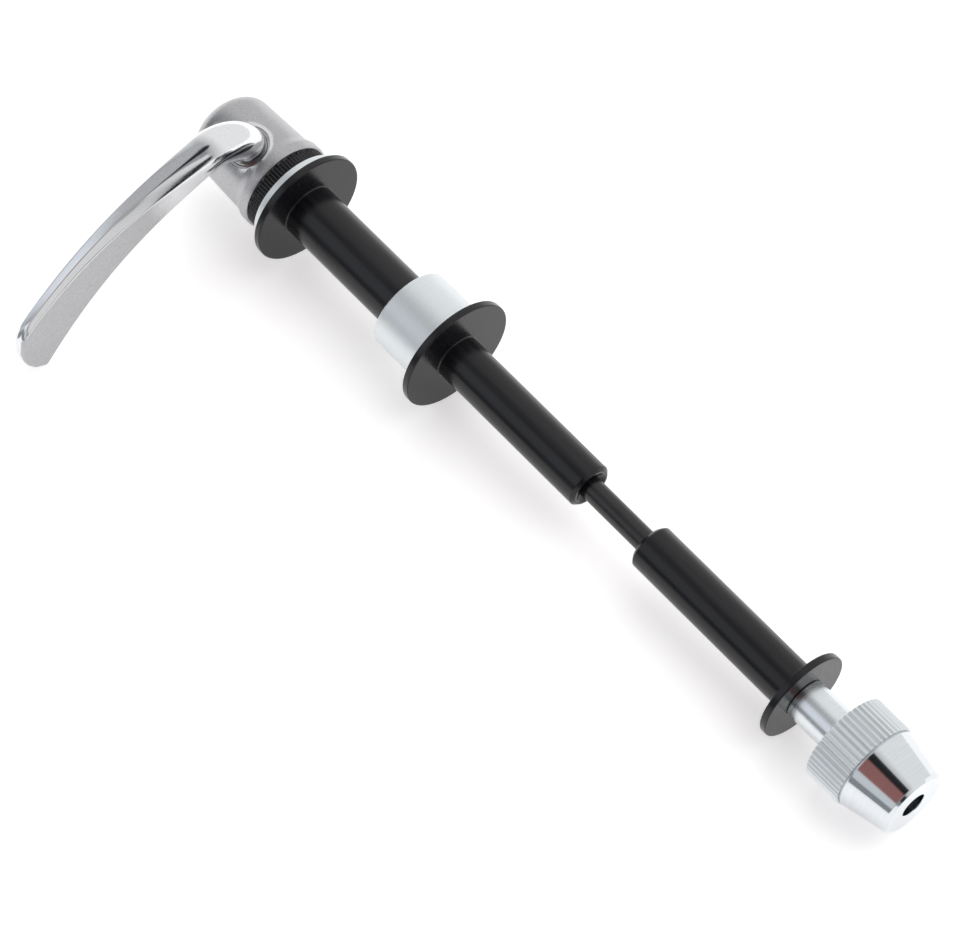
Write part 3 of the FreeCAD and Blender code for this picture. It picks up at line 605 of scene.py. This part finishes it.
class AdapterStage(bpy.types.PropertyGroup):
    """Camera, floor, light and studio."""

    camera_place: position("Camera place", "Where the camera stands", (0.3203, -0.2686, 0.6479))
    camera_azimuth: angle_size("Camera azimuth", "Side that the camera looks from", 49.42)
    camera_elevation: angle_size("Camera elevation", "Height that it looks down from", 58.95)
    lens: bpy.props.FloatProperty(
        name="Lens", description="Focal length in millimetres", default=144.58, unit="CAMERA")
    floor_normal: bpy.props.FloatVectorProperty(
        name="Floor normal", description="Up direction of the floor that the part rests on",
        default=(-0.02771, -0.01824, 0.99945), precision=5, subtype="DIRECTION")
    floor_depth: length("Floor depth", "From the axle straight down to the floor", 13.1)
    floor_half: length("Floor half width", "From the floor's middle to its edges", 1500)
    floor_dark: tint("Floor, dark", "Paper of the floor", (0.88, 0.875, 0.875))
    floor_light: tint("Floor, light", "Paper of the floor", (0.90, 0.895, 0.895))
    floor_glow: bpy.props.FloatProperty(
        name="Floor glow", description="Light that the floor gives off", default=0.42)
    floor_glow_colour: tint("Floor glow colour", "Light that the floor gives off", (1.0, 0.985, 0.98))
    key_power: bpy.props.FloatProperty(
        name="Key power", description="Power of the large light", default=7.0, unit="POWER")
    key_place: position("Key place", "Where the large light hangs", (0.1, 0.6, 0.95))
    key_aim: position("Key aim", "Where the large light points", (0.02, 0.0, 0.0))
    key_width: length("Key width", "Large light one way", 2000)
    key_height: length("Key height", "Large light the other way", 1500)
    world_strength: bpy.props.FloatProperty(
        name="World strength", description="Brightness of the studio round the part", default=0.55)
    studio_dim: tint("Studio, dim side", "Studio away from the large light", (0.52, 0.55, 0.58))
    studio_bright: tint("Studio, bright side", "Studio beside the large light", (1.80, 1.80, 1.80))


# Pieces

class ADAPTER_OT_finishes(bpy.types.Operator):
    """Make the finish of every slot and give it to the CAD nodes"""

    bl_idname = "adapter.finishes"
    bl_label = "Finishes"

    def execute(self, context):
        finish = context.scene.adapter_finish
        make_chrome(finish)
        make_zinc(finish)
        make_black_sleeve(finish)
        make_black_steel(finish)
        make_bush_metal(finish)
        for node, name in NODE_SLOTS.items():
            for slot in frame["nodes"][node].material_slots:
                slot.material = bpy.data.materials[f"{name}_finish"]
        return {"FINISHED"}


class ADAPTER_OT_sleeves(bpy.types.Operator):
    """Build the three flanged sleeves with rounded edges"""

    bl_idname = "adapter.sleeves"
    bl_label = "Sleeves"

    def execute(self, context):
        look = context.scene.adapter_turned
        self.frame_sleeve(look)
        self.hub_sleeve("left_hub_sleeve", look, 1)
        self.hub_sleeve("right_hub_sleeve", look, -1)
        return {"FINISHED"}

    def frame_sleeve(self, look):
        """Large sleeve: half a section of flange, tube and bore, turned about X."""
        low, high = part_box("frame_sleeve")
        flange, end = low.x + look.flange, high.x - look.seat
        corners = [(low.x, look.bore), (low.x, high.z), (flange, high.z), (flange, look.frame_tube),
                   (end, look.frame_tube), (end, look.bore)]
        radii = [look.edge] * 3 + [look.root] + [look.edge] * 2
        add_piece("frame_sleeve", new_mesh("frame_sleeve", turn_ring(corners, radii, look.sides)))

    def hub_sleeve(self, node, look, way):
        """Small sleeve, turned about X from its flange's outer face on, towards +X or -X as the way says."""
        low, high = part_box(node)
        start, end = (low.x, high.x) if way > 0 else (high.x, low.x)
        flange = start + way * look.flange
        tube, mouth = look.hub_tube, look.mouth
        corners = [(start, look.bore), (start, high.z), (flange, high.z), (flange, tube),
                   (end - way * look.chamfer, tube), (end, tube - look.chamfer), (end, mouth),
                   (end - way * (mouth - look.bore), look.bore)]
        radii = [look.edge] * 3 + [look.root] + [look.edge] * 4
        add_piece(node, new_mesh(node, turn_ring(corners, radii, look.sides, way)))


class ADAPTER_OT_rings(bpy.types.Operator):
    """Build the washer and the spacer with rounded edges"""

    bl_idname = "adapter.rings"
    bl_label = "Washer and spacer"

    def execute(self, context):
        look = context.scene.adapter_turned
        self.plain_ring("thrust_washer", look.bore, look, look.washer_extra)
        self.plain_ring("spacer_ring", look.spacer_bore, look, 0)
        return {"FINISHED"}

    def plain_ring(self, node, bore, look, extra):
        """Ring turned about X from a rectangle, longer by the extra towards -X."""
        low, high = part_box(node)
        start = low.x - extra
        corners = [(start, bore), (start, high.z), (high.x, high.z), (high.x, bore)]
        add_piece(node, new_mesh(node, turn_ring(corners, look.edge, look.sides)))


class ADAPTER_OT_toothed(bpy.types.Operator):
    """Build the serrated ring and the knurled nut with cut teeth"""

    bl_idname = "adapter.toothed"
    bl_label = "Serrated ring and knurled nut"

    def execute(self, context):
        look = context.scene.adapter_toothed
        self.serrated_ring(look, context.scene.adapter_turned, context.scene.adapter_cam.lip_extra)
        self.knurled_nut(look)
        return {"FINISHED"}

    def serrated_ring(self, look, turned, lip_extra):
        """Ring and spigot turned about X, with grooves across the rim.

        Each tooth gets a painted glint, a bare-steel colour as strong as the square of a random share, on its
        crest and only at the head's side.
        """
        low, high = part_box("serrated_ring")
        back, front = low.x + look.ring_spigot + lip_extra, high.x - turned.washer_extra
        bore, spigot, rim = turned.bore, look.ring_spigot_radius, high.y
        corners = [(low.x, bore), (low.x, spigot), (back, spigot), (back, rim), (front, rim), (front, bore)]
        angle = tooth_angles(look.ring_teeth)
        grid = turn(soften(corners, look.edge).reshape(-1, 2), angle)
        grid = cut_grooves(grid, angle, rim, look.depth, look.ring_teeth, look.gap_share, (back, front))
        mesh = new_mesh("serrated_ring", wrap(grid))
        # Painted highlights: a bright colour on the tooth crests at the head's side, with a random strength
        # on each tooth
        glint_strength = np.random.default_rng(GLINT_SEED).random(look.ring_teeth) ** 2
        tooth = np.repeat(glint_strength, len(angle) // look.ring_teeth)
        crest = np.linalg.norm(grid[..., 1:], axis=-1) > rim - look.depth
        edge = np.clip(1 - np.abs(grid[..., 0] - back) / look.edge, 0, 1)
        set_mask(mesh, "painted_glint", (tooth * crest * edge).reshape(-1))
        add_piece("serrated_ring", mesh)

    def knurled_nut(self, look):
        """Neck, knurled band, relief groove and conical nose turned about X, with grooves along the band."""
        low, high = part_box("knurled_nut")
        rim, back = high.y, low.x + look.neck_length
        band = back + look.knurl_length
        nose_start, rod_end = band + look.relief_width, high.x - look.rod_recess
        corners = [(low.x, look.nut_bore), (low.x, look.neck), (back, look.neck), (back, rim), (band, rim),
                   (band, look.relief), (nose_start, look.relief), (nose_start, look.shoulder),
                   (high.x - look.nose_chamfer, look.nose), (high.x, look.nose - look.nose_chamfer),
                   (high.x, look.nut_mouth), (rod_end, look.nut_mouth), (rod_end, look.nut_bore)]
        radii = [look.edge] * 5 + [look.fine_edge] * 2 + [look.edge] * 4 + [look.fine_edge] * 2
        angle = tooth_angles(look.nut_teeth)
        grid = turn(soften(corners, radii).reshape(-1, 2), angle)
        grid = cut_grooves(grid, angle, rim, look.depth, look.nut_teeth, look.gap_share, (back, band))
        mesh = new_mesh("knurled_nut", wrap(grid))
        places = [back - look.neck_fade, back, band, nose_start]
        set_mask(mesh, "polish", np.interp(grid[..., 0].reshape(-1), places, [NECK_POLISH, 0.0, 0.0, 1.0]))
        add_piece("knurled_nut", mesh)


class ADAPTER_OT_rod(bpy.types.Operator):
    """Build the draw rod with its eye and its threaded end"""

    bl_idname = "adapter.rod"
    bl_label = "Draw rod"

    def execute(self, context):
        look = context.scene.adapter_cam
        add_piece("draw_rod", new_mesh("draw_rod", join(self.rod(look), self.eye(look))))
        return {"FINISHED"}

    def rod(self, look):
        """Rod about X whose radius falls, on its thread, by a triangle wave of (x / pitch - angle / turn)."""
        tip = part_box("draw_rod")[1].x
        start, thread = look.pivot_place + look.rod_start, tip - look.thread_length
        chamfer = tip - look.thread_depth
        threaded = np.arange(thread, chamfer, look.thread_pitch / THREAD_ROWS)[1:]
        x = np.concatenate([[start], np.linspace(start, thread, ROD_ROWS), threaded, [chamfer, tip]])
        angle = even_angles(ROD_SIDES)
        wave = np.abs(2 * ((x[:, None] / look.thread_pitch - angle / (2 * np.pi)) % 1) - 1)
        fade = np.clip((x - thread) / look.thread_pitch, 0, 1)[:, None]
        radius = look.rod - fade * look.thread_depth * wave
        radius[-1] = look.rod - look.thread_depth
        return wrap_capped(about_axle(x[:, None], radius, angle), (start, 0, 0), (tip, 0, 0))

    def eye(self, look):
        """Ring about the pivot whose halves stand apart, on either side of the rod, by the cam's throw."""
        half = look.eye_half
        corners = [(-half, look.slot), (-half, look.eye), (half, look.eye), (half, look.slot)]
        points, faces = stood(turn_ring(corners, look.hole_edge, PIVOT_SIDES))
        points[:, 1] += np.sign(points[:, 1]) * look.throw
        return moved((points, faces), Matrix.Translation((-look.throw, 0, 0)) @ pivot_frame(look))


class ADAPTER_OT_head(bpy.types.Operator):
    """Build the domed head with its holes, and the bush"""

    bl_idname = "adapter.head"
    bl_label = "Head and bush"

    def execute(self, context):
        look = context.scene.adapter_cam
        self.head(context, look)
        self.bush(look)
        return {"FINISHED"}

    def outline(self, look, start, end):
        """Head's outline as points (x, r), from the dome's top round and back to the axis.

        The crown is an arc about the axis, and the corner a smaller arc that touches it from inside.
        Taper, flare, lip and cavity are straight, with rounds between them.
        """
        rise = look.dome_edge - look.corner
        inset = math.sqrt((look.crown - look.corner) ** 2 - rise ** 2)
        meeting = math.atan2(rise, -inset)
        crown = np.linspace(math.pi, meeting, DOME_ROWS)
        corner = np.linspace(meeting, math.pi / 2, DOME_ROWS)[1:]
        dome = np.stack([start + look.crown * (1 + np.cos(crown)), look.crown * np.sin(crown)], axis=-1)
        dome[0, 1] = 0
        bend = np.stack([start + look.crown - inset + look.corner * np.cos(corner),
                         rise + look.corner * np.sin(corner)], axis=-1)
        lip, cavity_end = end - look.lip_length, start + look.cavity_end
        corners = [bend[-1], (lip - look.flare_length, look.taper), (lip, look.lip), (end, look.lip),
                   (end, look.cavity), (cavity_end, look.cavity), (cavity_end, 0)]
        radii = [look.cavity_edge, look.flare_round, look.lip_round, look.lip_edge] + [look.cavity_edge] * 3
        rounded = soften(corners, radii)[1:-1].reshape(-1, 2)
        return divide(np.vstack([dome, bend, rounded, corners[-1:]]), HEAD_STEP)

    def head(self, context, look):
        """Head turned about X, with the bush's hole, the shaft's hole and the clip's flat cut out of it."""
        low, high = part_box("cam_head")
        outline = self.outline(look, low.x, high.x + look.lip_extra)
        piece = add_piece("cam_head", new_mesh("cam_head", turn_solid(outline, even_angles(HEAD_SIDES))))
        self.cut(context, piece, moved(self.rim_cutter(look), pivot_frame(look)))
        for radius, near in ((look.shaft_hole, look.cam_half), (look.spot_face, look.spot_depth)):
            self.cut(context, piece, moved(self.hole_cutter(look, radius, near), pivot_frame(look)))
        piece.data.set_sharp_from_angle(angle=HEAD_SHARP)
        set_mask(piece.data, "satin", self.satin(piece.data, look))

    def satin(self, mesh, look):
        """Satin all over the head, apart from the polished rim of the bush's hole."""
        points = np.empty(len(mesh.vertices) * 3)
        mesh.vertices.foreach_get("co", points)
        points, _ = moved((points.reshape(-1, 3), None), pivot_frame(look).inverted())
        away = np.linalg.norm(points[:, :2], axis=1)
        rim = (points[:, 2] > look.cam_half) & (away < look.bush_hole + 2 * look.hole_edge)
        return np.where(rim, RIM_SATIN, 1.0)

    def rim_cutter(self, look):
        """Cutter for the bush's hole, whose top flares as a round along the head's own surface.

        At an angle a about the pivot that surface is sqrt((taper - sink)^2 - (hole sin a)^2) above the axle.
        A gentle slope along the axle is added, which follows part of the head's taper.
        """
        angle = even_angles(RIM_SIDES)
        hole, edge = look.bush_hole, look.hole_edge
        slope = (look.taper - look.dome_edge) / (look.lip + look.crown) * hole * np.cos(angle)
        height = np.sqrt((look.taper - look.rim_sink) ** 2 - (hole * np.sin(angle)) ** 2) + slope
        bend = np.linspace(0, look.rim_turn, FLARE_ROWS)[:, None]
        flare_radius = hole + edge * (1 - np.cos(bend)) + 0 * angle
        flare_height = height - edge + edge * np.sin(bend)
        radius = np.vstack([np.full_like(angle, hole), flare_radius, np.full_like(angle, hole + 2 * edge)])
        z = np.vstack([np.full_like(angle, look.cam_half), flare_height, height + 2 * edge])
        grid = np.stack([radius * np.cos(angle), radius * np.sin(angle), z], axis=-1)
        return wrap_capped(grid, (0, 0, look.cam_half), (0, 0, look.lip + 2 * edge))

    def hole_cutter(self, look, radius, near):
        """Cylinder about the pivot, from a depth below the axle to well outside the head."""
        far = look.lip + look.crown
        outline = np.array([(-far, 0), (-far, radius), (-near, radius), (-near, 0)])
        return stood(turn_solid(outline, even_angles(PIVOT_SIDES)))

    def cut(self, context, piece, shell):
        """Takes a closed surface out of a piece."""
        cutter = bpy.data.objects.new("cutter", new_mesh("cutter", shell))
        context.scene.collection.objects.link(cutter)
        modifier = piece.modifiers.new("cut", "BOOLEAN")
        modifier.object, modifier.operation, modifier.solver = cutter, "DIFFERENCE", "EXACT"
        before = piece.data
        piece.data = bpy.data.meshes.new_from_object(piece.evaluated_get(context.evaluated_depsgraph_get()))
        piece.modifiers.clear()
        bpy.data.objects.remove(cutter)
        if len(piece.data.vertices) == len(before.vertices):
            raise RuntimeError("a cut in the head changed nothing")
        bpy.data.meshes.remove(before)

    def bush(self, look):
        """Tube about the pivot, turned from a rectangle."""
        top, foot = look.bush_top, look.bush_top - look.bush_length
        corners = [(foot, look.bush_bore), (foot, look.bush), (top, look.bush), (top, look.bush_bore)]
        tube = stood(turn_ring(corners, look.bush_edge, PIVOT_SIDES))
        add_piece("pivot_bush", new_mesh("pivot_bush", moved(tube, pivot_frame(look))))


class ADAPTER_OT_lever(bpy.types.Operator):
    """Build the cranked lever with its cam and shaft"""

    bl_idname = "adapter.lever"
    bl_label = "Lever"

    def execute(self, context):
        look = context.scene.adapter_cam
        bar, satin = self.bar_and_blade(look)
        shell = join(bar, self.cam(look), self.shaft(look))
        mesh = new_mesh("cam_lever", moved(shell, pivot_frame(look, look.splay)))
        set_mask(mesh, "satin", np.pad(satin, (0, len(mesh.vertices) - len(satin))))
        add_piece("cam_lever", mesh)
        return {"FINISHED"}

    def section(self, look, share):
        """Blade's section at a share of its length, as points (across, up) round its middle.

        It is a rectangle with rounded bevels, thinned by the square of what is left of the length,
        and widened by the sine of the share's part of a right angle. At the root it is the bar's circle.
        """
        if share == 0:
            first_corner = math.pi / 8
            column = np.arange(SECTION_POINTS) - (CORNER_POINTS - 1) / 2
            angle = first_corner + column * (2 * math.pi / SECTION_POINTS)
            return look.bar * np.stack([np.cos(angle), np.sin(angle)], axis=-1)
        left = (1 - share) ** 2
        x = (look.thickness + (2 * look.bar - look.thickness) * left) / 2
        y = (2 * look.bar + (look.width - 2 * look.bar) * math.sin(share * math.pi / 2)) / 2
        bevel = look.bevel + (look.bar * (2 - math.sqrt(2)) - look.bevel) * left
        corners = [(x, y - bevel), (x - bevel, y), (bevel - x, y), (-x, y - bevel),
                   (-x, bevel - y), (bevel - x, -y), (x - bevel, -y), (x, bevel - y)]
        rounds = soften(corners, look.blade_edge, steps=CORNER_STEPS)
        tail, lead = rounds[:, -1:], np.roll(rounds, -1, axis=0)[:, :1]
        between = tail + (lead - tail) * np.linspace(0, 1, SIDE_POINTS + 2)[1:-1][None, :, None]
        return np.concatenate([rounds, between], axis=1).reshape(-1, 2)

    def blade_row(self, look, share, thin):
        """One row of the blade's points, each at its own share of the length, with the thickness times thin.

        The sections at the quarters of the length are joined by the quartic curve through them.
        Their middles run straight along the arm, with a parabola across it and a parabola down.
        """
        quarters = np.linspace(0, 1, 5)
        arm = look.lever_length - look.elbow
        row = 0
        for quarter in quarters:
            others = quarters[quarters != quarter]
            weight = np.prod([(share - other) / (quarter - other) for other in others], axis=0)
            across, up = self.section(look, quarter).T
            across = across * thin
            sine, cosine = math.sin(look.twist * quarter ** 2), math.cos(look.twist * quarter ** 2)
            x = np.full_like(across, look.elbow + arm * quarter)
            y = (arm * quarter) ** 2 / (2 * look.bow) + across * cosine - up * sine
            z = look.elbow_start + look.elbow - look.drop * quarter ** 2 + across * sine + up * cosine
            row = row + weight[:, None] * np.stack([x, y, z], axis=-1)
        return row

    def tip_shares(self, look):
        """Share of the length at which each of the blade's long lines meets the tip's round, by halving."""
        arm = look.lever_length - look.elbow
        share = 1 - look.tip / arm
        fall = math.atan(2 * look.drop * share / arm)
        lower = look.tip - look.width / 2 * math.cos(fall)
        middle_x = look.elbow + arm * share - lower * math.sin(fall)
        middle_z = look.elbow_start + look.elbow - look.drop * share ** 2 - lower * math.cos(fall)
        low, high = (np.full(SECTION_POINTS, limit) for limit in TIP_SEARCH)
        for _ in range(HALVINGS):
            middle = (low + high) / 2
            point = self.blade_row(look, middle, 1.0)
            dx, dz = point[:, 0] - middle_x, point[:, 2] - middle_z
            along, up = dx * math.cos(fall) - dz * math.sin(fall), dx * math.sin(fall) + dz * math.cos(fall)
            beyond = along > self.tip_reach(look, up, look.tip - 2 * lower)
            low, high = np.where(beyond, low, middle), np.where(beyond, middle, high)
        return (low + high) / 2

    def tip_reach(self, look, up, lower_edge):
        """Tip's reach at a height: a large circle, and inside it a smaller one down to the lower edge."""
        rise = look.tip_corner - lower_edge
        gap = look.tip - look.tip_corner
        large = np.sqrt(np.maximum(look.tip ** 2 - up ** 2, 0))
        corner = np.sqrt(np.maximum(look.tip_corner ** 2 - (up - rise) ** 2, 0))
        small = math.sqrt(gap ** 2 - rise ** 2) + corner
        return np.where(up < rise * look.tip / gap, small, large)

    def bar_rows(self, look):
        """Rows of the bar: its rounded foot on the cam, then its circle carried round the elbow's arc."""
        across, out = self.section(look, 0).T
        edge, bulge = look.blade_edge, FOOT_MIDDLE * look.blade_edge
        rows = []
        for shrink, rise in ((edge, 0), (bulge, bulge), (0, edge), (0, 2 * edge)):
            scale = 1 - shrink / look.bar
            z = np.full_like(out, look.cam_half + rise)
            rows.append(np.stack([-out * scale, across * scale, z], axis=-1))
        for bend in np.linspace(0, math.pi / 2, ELBOW_ROWS + 1)[:-1]:
            x = look.elbow - (look.elbow + out) * math.cos(bend)
            z = look.elbow_start + (look.elbow + out) * math.sin(bend)
            rows.append(np.stack([x, across, z], axis=-1))
        return rows

    def blade_steps(self, look):
        """Shares of the length and factors of the thickness for the blade's rows.

        The rows are even up to the tip's edge, which is a quarter circle in length and thickness.
        """
        end = self.tip_shares(look)
        edge_share = look.tip_edge / (look.lever_length - look.elbow)
        shares = [(end - edge_share) * step for step in np.linspace(0, 1, BLADE_ROWS)]
        thins = [1.0] * BLADE_ROWS
        for bend in np.linspace(0, math.pi / 2, TIP_ROWS + 1)[1:]:
            shares.append(end - edge_share * (1 - math.sin(bend)))
            thins.append(1 - look.tip_edge * (1 - math.cos(bend)) / (look.thickness / 2))
        return shares, thins

    def tip_faces(self, row):
        """Faces that close the tip's last row, between the columns of its front and their mirrors."""
        half = SECTION_POINTS // 2
        front = np.arange(half) + (MIRROR + 1) // 2 - half
        back = MIRROR - front
        columns = np.stack([front[:-1], front[1:], back[1:], back[:-1]], axis=-1) % SECTION_POINTS
        return (row * SECTION_POINTS + columns).tolist()

    def bar_and_blade(self, look):
        """Bar from the cam up and round the elbow, then the blade to its tip, as one closed surface.

        With it comes how satin each point is: the blade's front face, faded in from its root.
        """
        rows = self.bar_rows(look)
        blade_start = len(rows)
        shares, thins = self.blade_steps(look)
        rows += [self.blade_row(look, share, thin) for share, thin in zip(shares, thins)]
        points, faces = wrap_capped(np.stack(rows), start=(0, 0, look.cam_half))
        faces += self.tip_faces(len(rows) - 1)
        satin = np.zeros(len(points))
        fade = np.clip((np.array(shares)[:, 0] - SATIN_START) / SATIN_FADE, 0, 1)
        for row, amount in enumerate(fade[:-TIP_BRIGHT_ROWS], start=blade_start):
            satin[row * SECTION_POINTS + FRONT_FACE] = amount
        return (points, faces), satin

    def cam(self, look):
        """Eccentric: a short cylinder beside the pivot's axis, away from the head's open end."""
        half = look.cam_half
        corners = [(-half, 0), (-half, look.cam), (half, look.cam), (half, 0)]
        aside = -look.splay - math.pi / 2
        shift = (look.throw * math.sin(aside), -look.throw * math.cos(aside), 0)
        return moved(stood(turn_rounded(corners, look.cam_edge, PIVOT_SIDES)), Matrix.Translation(shift))

    def shaft(self, look):
        """Shaft's end turned about the pivot, with the clip's groove."""
        tip, cam, top = -look.shaft_length, -look.cam_half, -look.clip_top
        low = top - look.clip_thickness
        end, groove = look.shaft_end, look.groove
        corners = [(tip, 0), (tip, end), (low, end), (low, groove), (top, groove), (top, end),
                   (cam, end), (cam, 0)]
        return stood(turn_rounded(corners, look.shaft_edge, SHAFT_SIDES))


class ADAPTER_OT_stage(bpy.types.Operator):
    """Set up the camera, the floor, the light and the studio"""

    bl_idname = "adapter.stage"
    bl_label = "Stage"

    def execute(self, context):
        stage = context.scene.adapter_stage
        self.camera(context.scene, stage)
        self.floor(context.scene, stage)
        self.light(context.scene, stage)
        self.world(context.scene, stage)
        context.scene.view_settings.view_transform = "Standard"
        return {"FINISHED"}

    def camera(self, scene, stage):
        """Camera that sees the part as the photograph does."""
        data = bpy.data.cameras.new("photo_camera")
        data.lens = stage.lens
        data.sensor_width = 36.0
        data.sensor_fit = "HORIZONTAL"
        data.clip_start = 0.01
        camera = bpy.data.objects.new("photo_camera", data)
        camera.location = stage.camera_place
        camera.rotation_euler = (math.pi / 2 - stage.camera_elevation, 0, stage.camera_azimuth)
        scene.collection.objects.link(camera)
        scene.camera = camera

    def floor(self, scene, stage):
        """Square floor under the part, tilted to the plane that the part rests on."""
        half = stage.floor_half
        corners = [(-half, -half, 0), (half, -half, 0), (half, half, 0), (-half, half, 0)]
        mesh = bpy.data.meshes.new("floor")
        mesh.from_pydata(corners, [], [(0, 1, 2, 3)])
        mesh.materials.append(make_floor_paper(stage))
        floor = bpy.data.objects.new("floor", mesh)
        tilt = Vector((0, 0, 1)).rotation_difference(Vector(stage.floor_normal)).to_matrix().to_4x4()
        floor.matrix_world = Matrix.Translation((0, 0, -stage.floor_depth)) @ tilt
        scene.collection.objects.link(floor)

    def light(self, scene, stage):
        """Large soft light above and behind the part, which nothing mirrors."""
        data = bpy.data.lights.new("key", "AREA")
        data.shape = "ELLIPSE"
        data.size, data.size_y = stage.key_width, stage.key_height
        data.energy = stage.key_power
        key = bpy.data.objects.new("key", data)
        key.location = stage.key_place
        key.rotation_euler = (Vector(stage.key_aim) - key.location).to_track_quat("-Z", "Y").to_euler()
        key.visible_glossy = False
        scene.collection.objects.link(key)

    def world(self, scene, stage):
        """Studio round the part: grey, brighter on the large light's side, with bright and dark patches."""
        world = bpy.data.worlds.new("studio")
        scene.world = world
        world.use_nodes = True
        tree = world.node_tree
        place = add_node(tree, "TexCoord").outputs["Generated"]
        sides = add_node(tree, "SeparateXYZ")
        tree.links.new(place, sides.inputs["Vector"])
        side = add_node(tree, "MapRange", From_Min=-STUDIO_SIDE, From_Max=STUDIO_SIDE)
        tree.links.new(sides.outputs["Y"], side.inputs["Value"])
        colour = shade(tree, side.outputs["Result"], stage.studio_dim, stage.studio_bright)
        for direction, degrees, patch_colour in STUDIO_PATCHES:
            colour = self.patch(tree, place, colour, direction, math.radians(degrees), patch_colour)
        background = tree.nodes["Background"]
        tree.links.new(colour, background.inputs["Color"])
        background.inputs["Strength"].default_value = stage.world_strength

    def patch(self, tree, place, colour, direction, radius, patch_colour):
        """Studio's colour with a round soft-edged patch of another colour in one direction."""
        near = add_node(tree, "VectorMath")
        near.operation = "DOT_PRODUCT"
        near.inputs[1].default_value = Vector(direction).normalized()
        tree.links.new(place, near.inputs[0])
        edge = add_node(tree, "MapRange", From_Min=math.cos(radius * (1 + PATCH_FADE)),
                        From_Max=math.cos(radius * (1 - PATCH_FADE)))
        edge.interpolation_type = "SMOOTHSTEP"
        tree.links.new(near.outputs["Value"], edge.inputs["Value"])
        return mix(tree, "RGBA", edge.outputs["Result"], colour, (*patch_colour, 1))


class ADAPTER_PT_looks(bpy.types.Panel):
    """Sidebar panel for the adapter's looks."""

    bl_idname = "ADAPTER_PT_looks"
    bl_label = "Thru-axle adapter"
    bl_space_type = "VIEW_3D"
    bl_region_type = "UI"
    bl_category = "Adapter"

    def draw(self, context):
        column = self.layout.column()
        for operator in OPERATORS:
            column.operator(operator.bl_idname)
        for name, group in SETTINGS.items():
            for setting in group.__annotations__:
                column.prop(getattr(context.scene, name), setting)


OPERATORS = (ADAPTER_OT_finishes, ADAPTER_OT_sleeves, ADAPTER_OT_rings, ADAPTER_OT_toothed, ADAPTER_OT_rod,
             ADAPTER_OT_head, ADAPTER_OT_lever, ADAPTER_OT_stage)
SETTINGS = {"adapter_finish": AdapterFinish, "adapter_turned": AdapterTurned,
            "adapter_toothed": AdapterToothed, "adapter_cam": AdapterCam, "adapter_stage": AdapterStage}


def register():
    """Registers the settings, the operators and the panel."""
    for name, group in SETTINGS.items():
        bpy.utils.register_class(group)
        setattr(bpy.types.Scene, name, bpy.props.PointerProperty(type=group))
    for operator in OPERATORS:
        bpy.utils.register_class(operator)
    bpy.utils.register_class(ADAPTER_PT_looks)


def unregister():
    """Takes out what register put in."""
    bpy.utils.unregister_class(ADAPTER_PT_looks)
    for operator in reversed(OPERATORS):
        bpy.utils.unregister_class(operator)
    for name, group in SETTINGS.items():
        delattr(bpy.types.Scene, name)
        bpy.utils.unregister_class(group)


def main():
    """Builds every piece and the stage."""
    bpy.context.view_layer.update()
    register()
    bpy.ops.adapter.finishes()
    bpy.ops.adapter.sleeves()
    bpy.ops.adapter.rings()
    bpy.ops.adapter.toothed()
    bpy.ops.adapter.rod()
    bpy.ops.adapter.head()
    bpy.ops.adapter.lever()
    bpy.ops.adapter.stage()


if __name__ == "__main__":
    main()
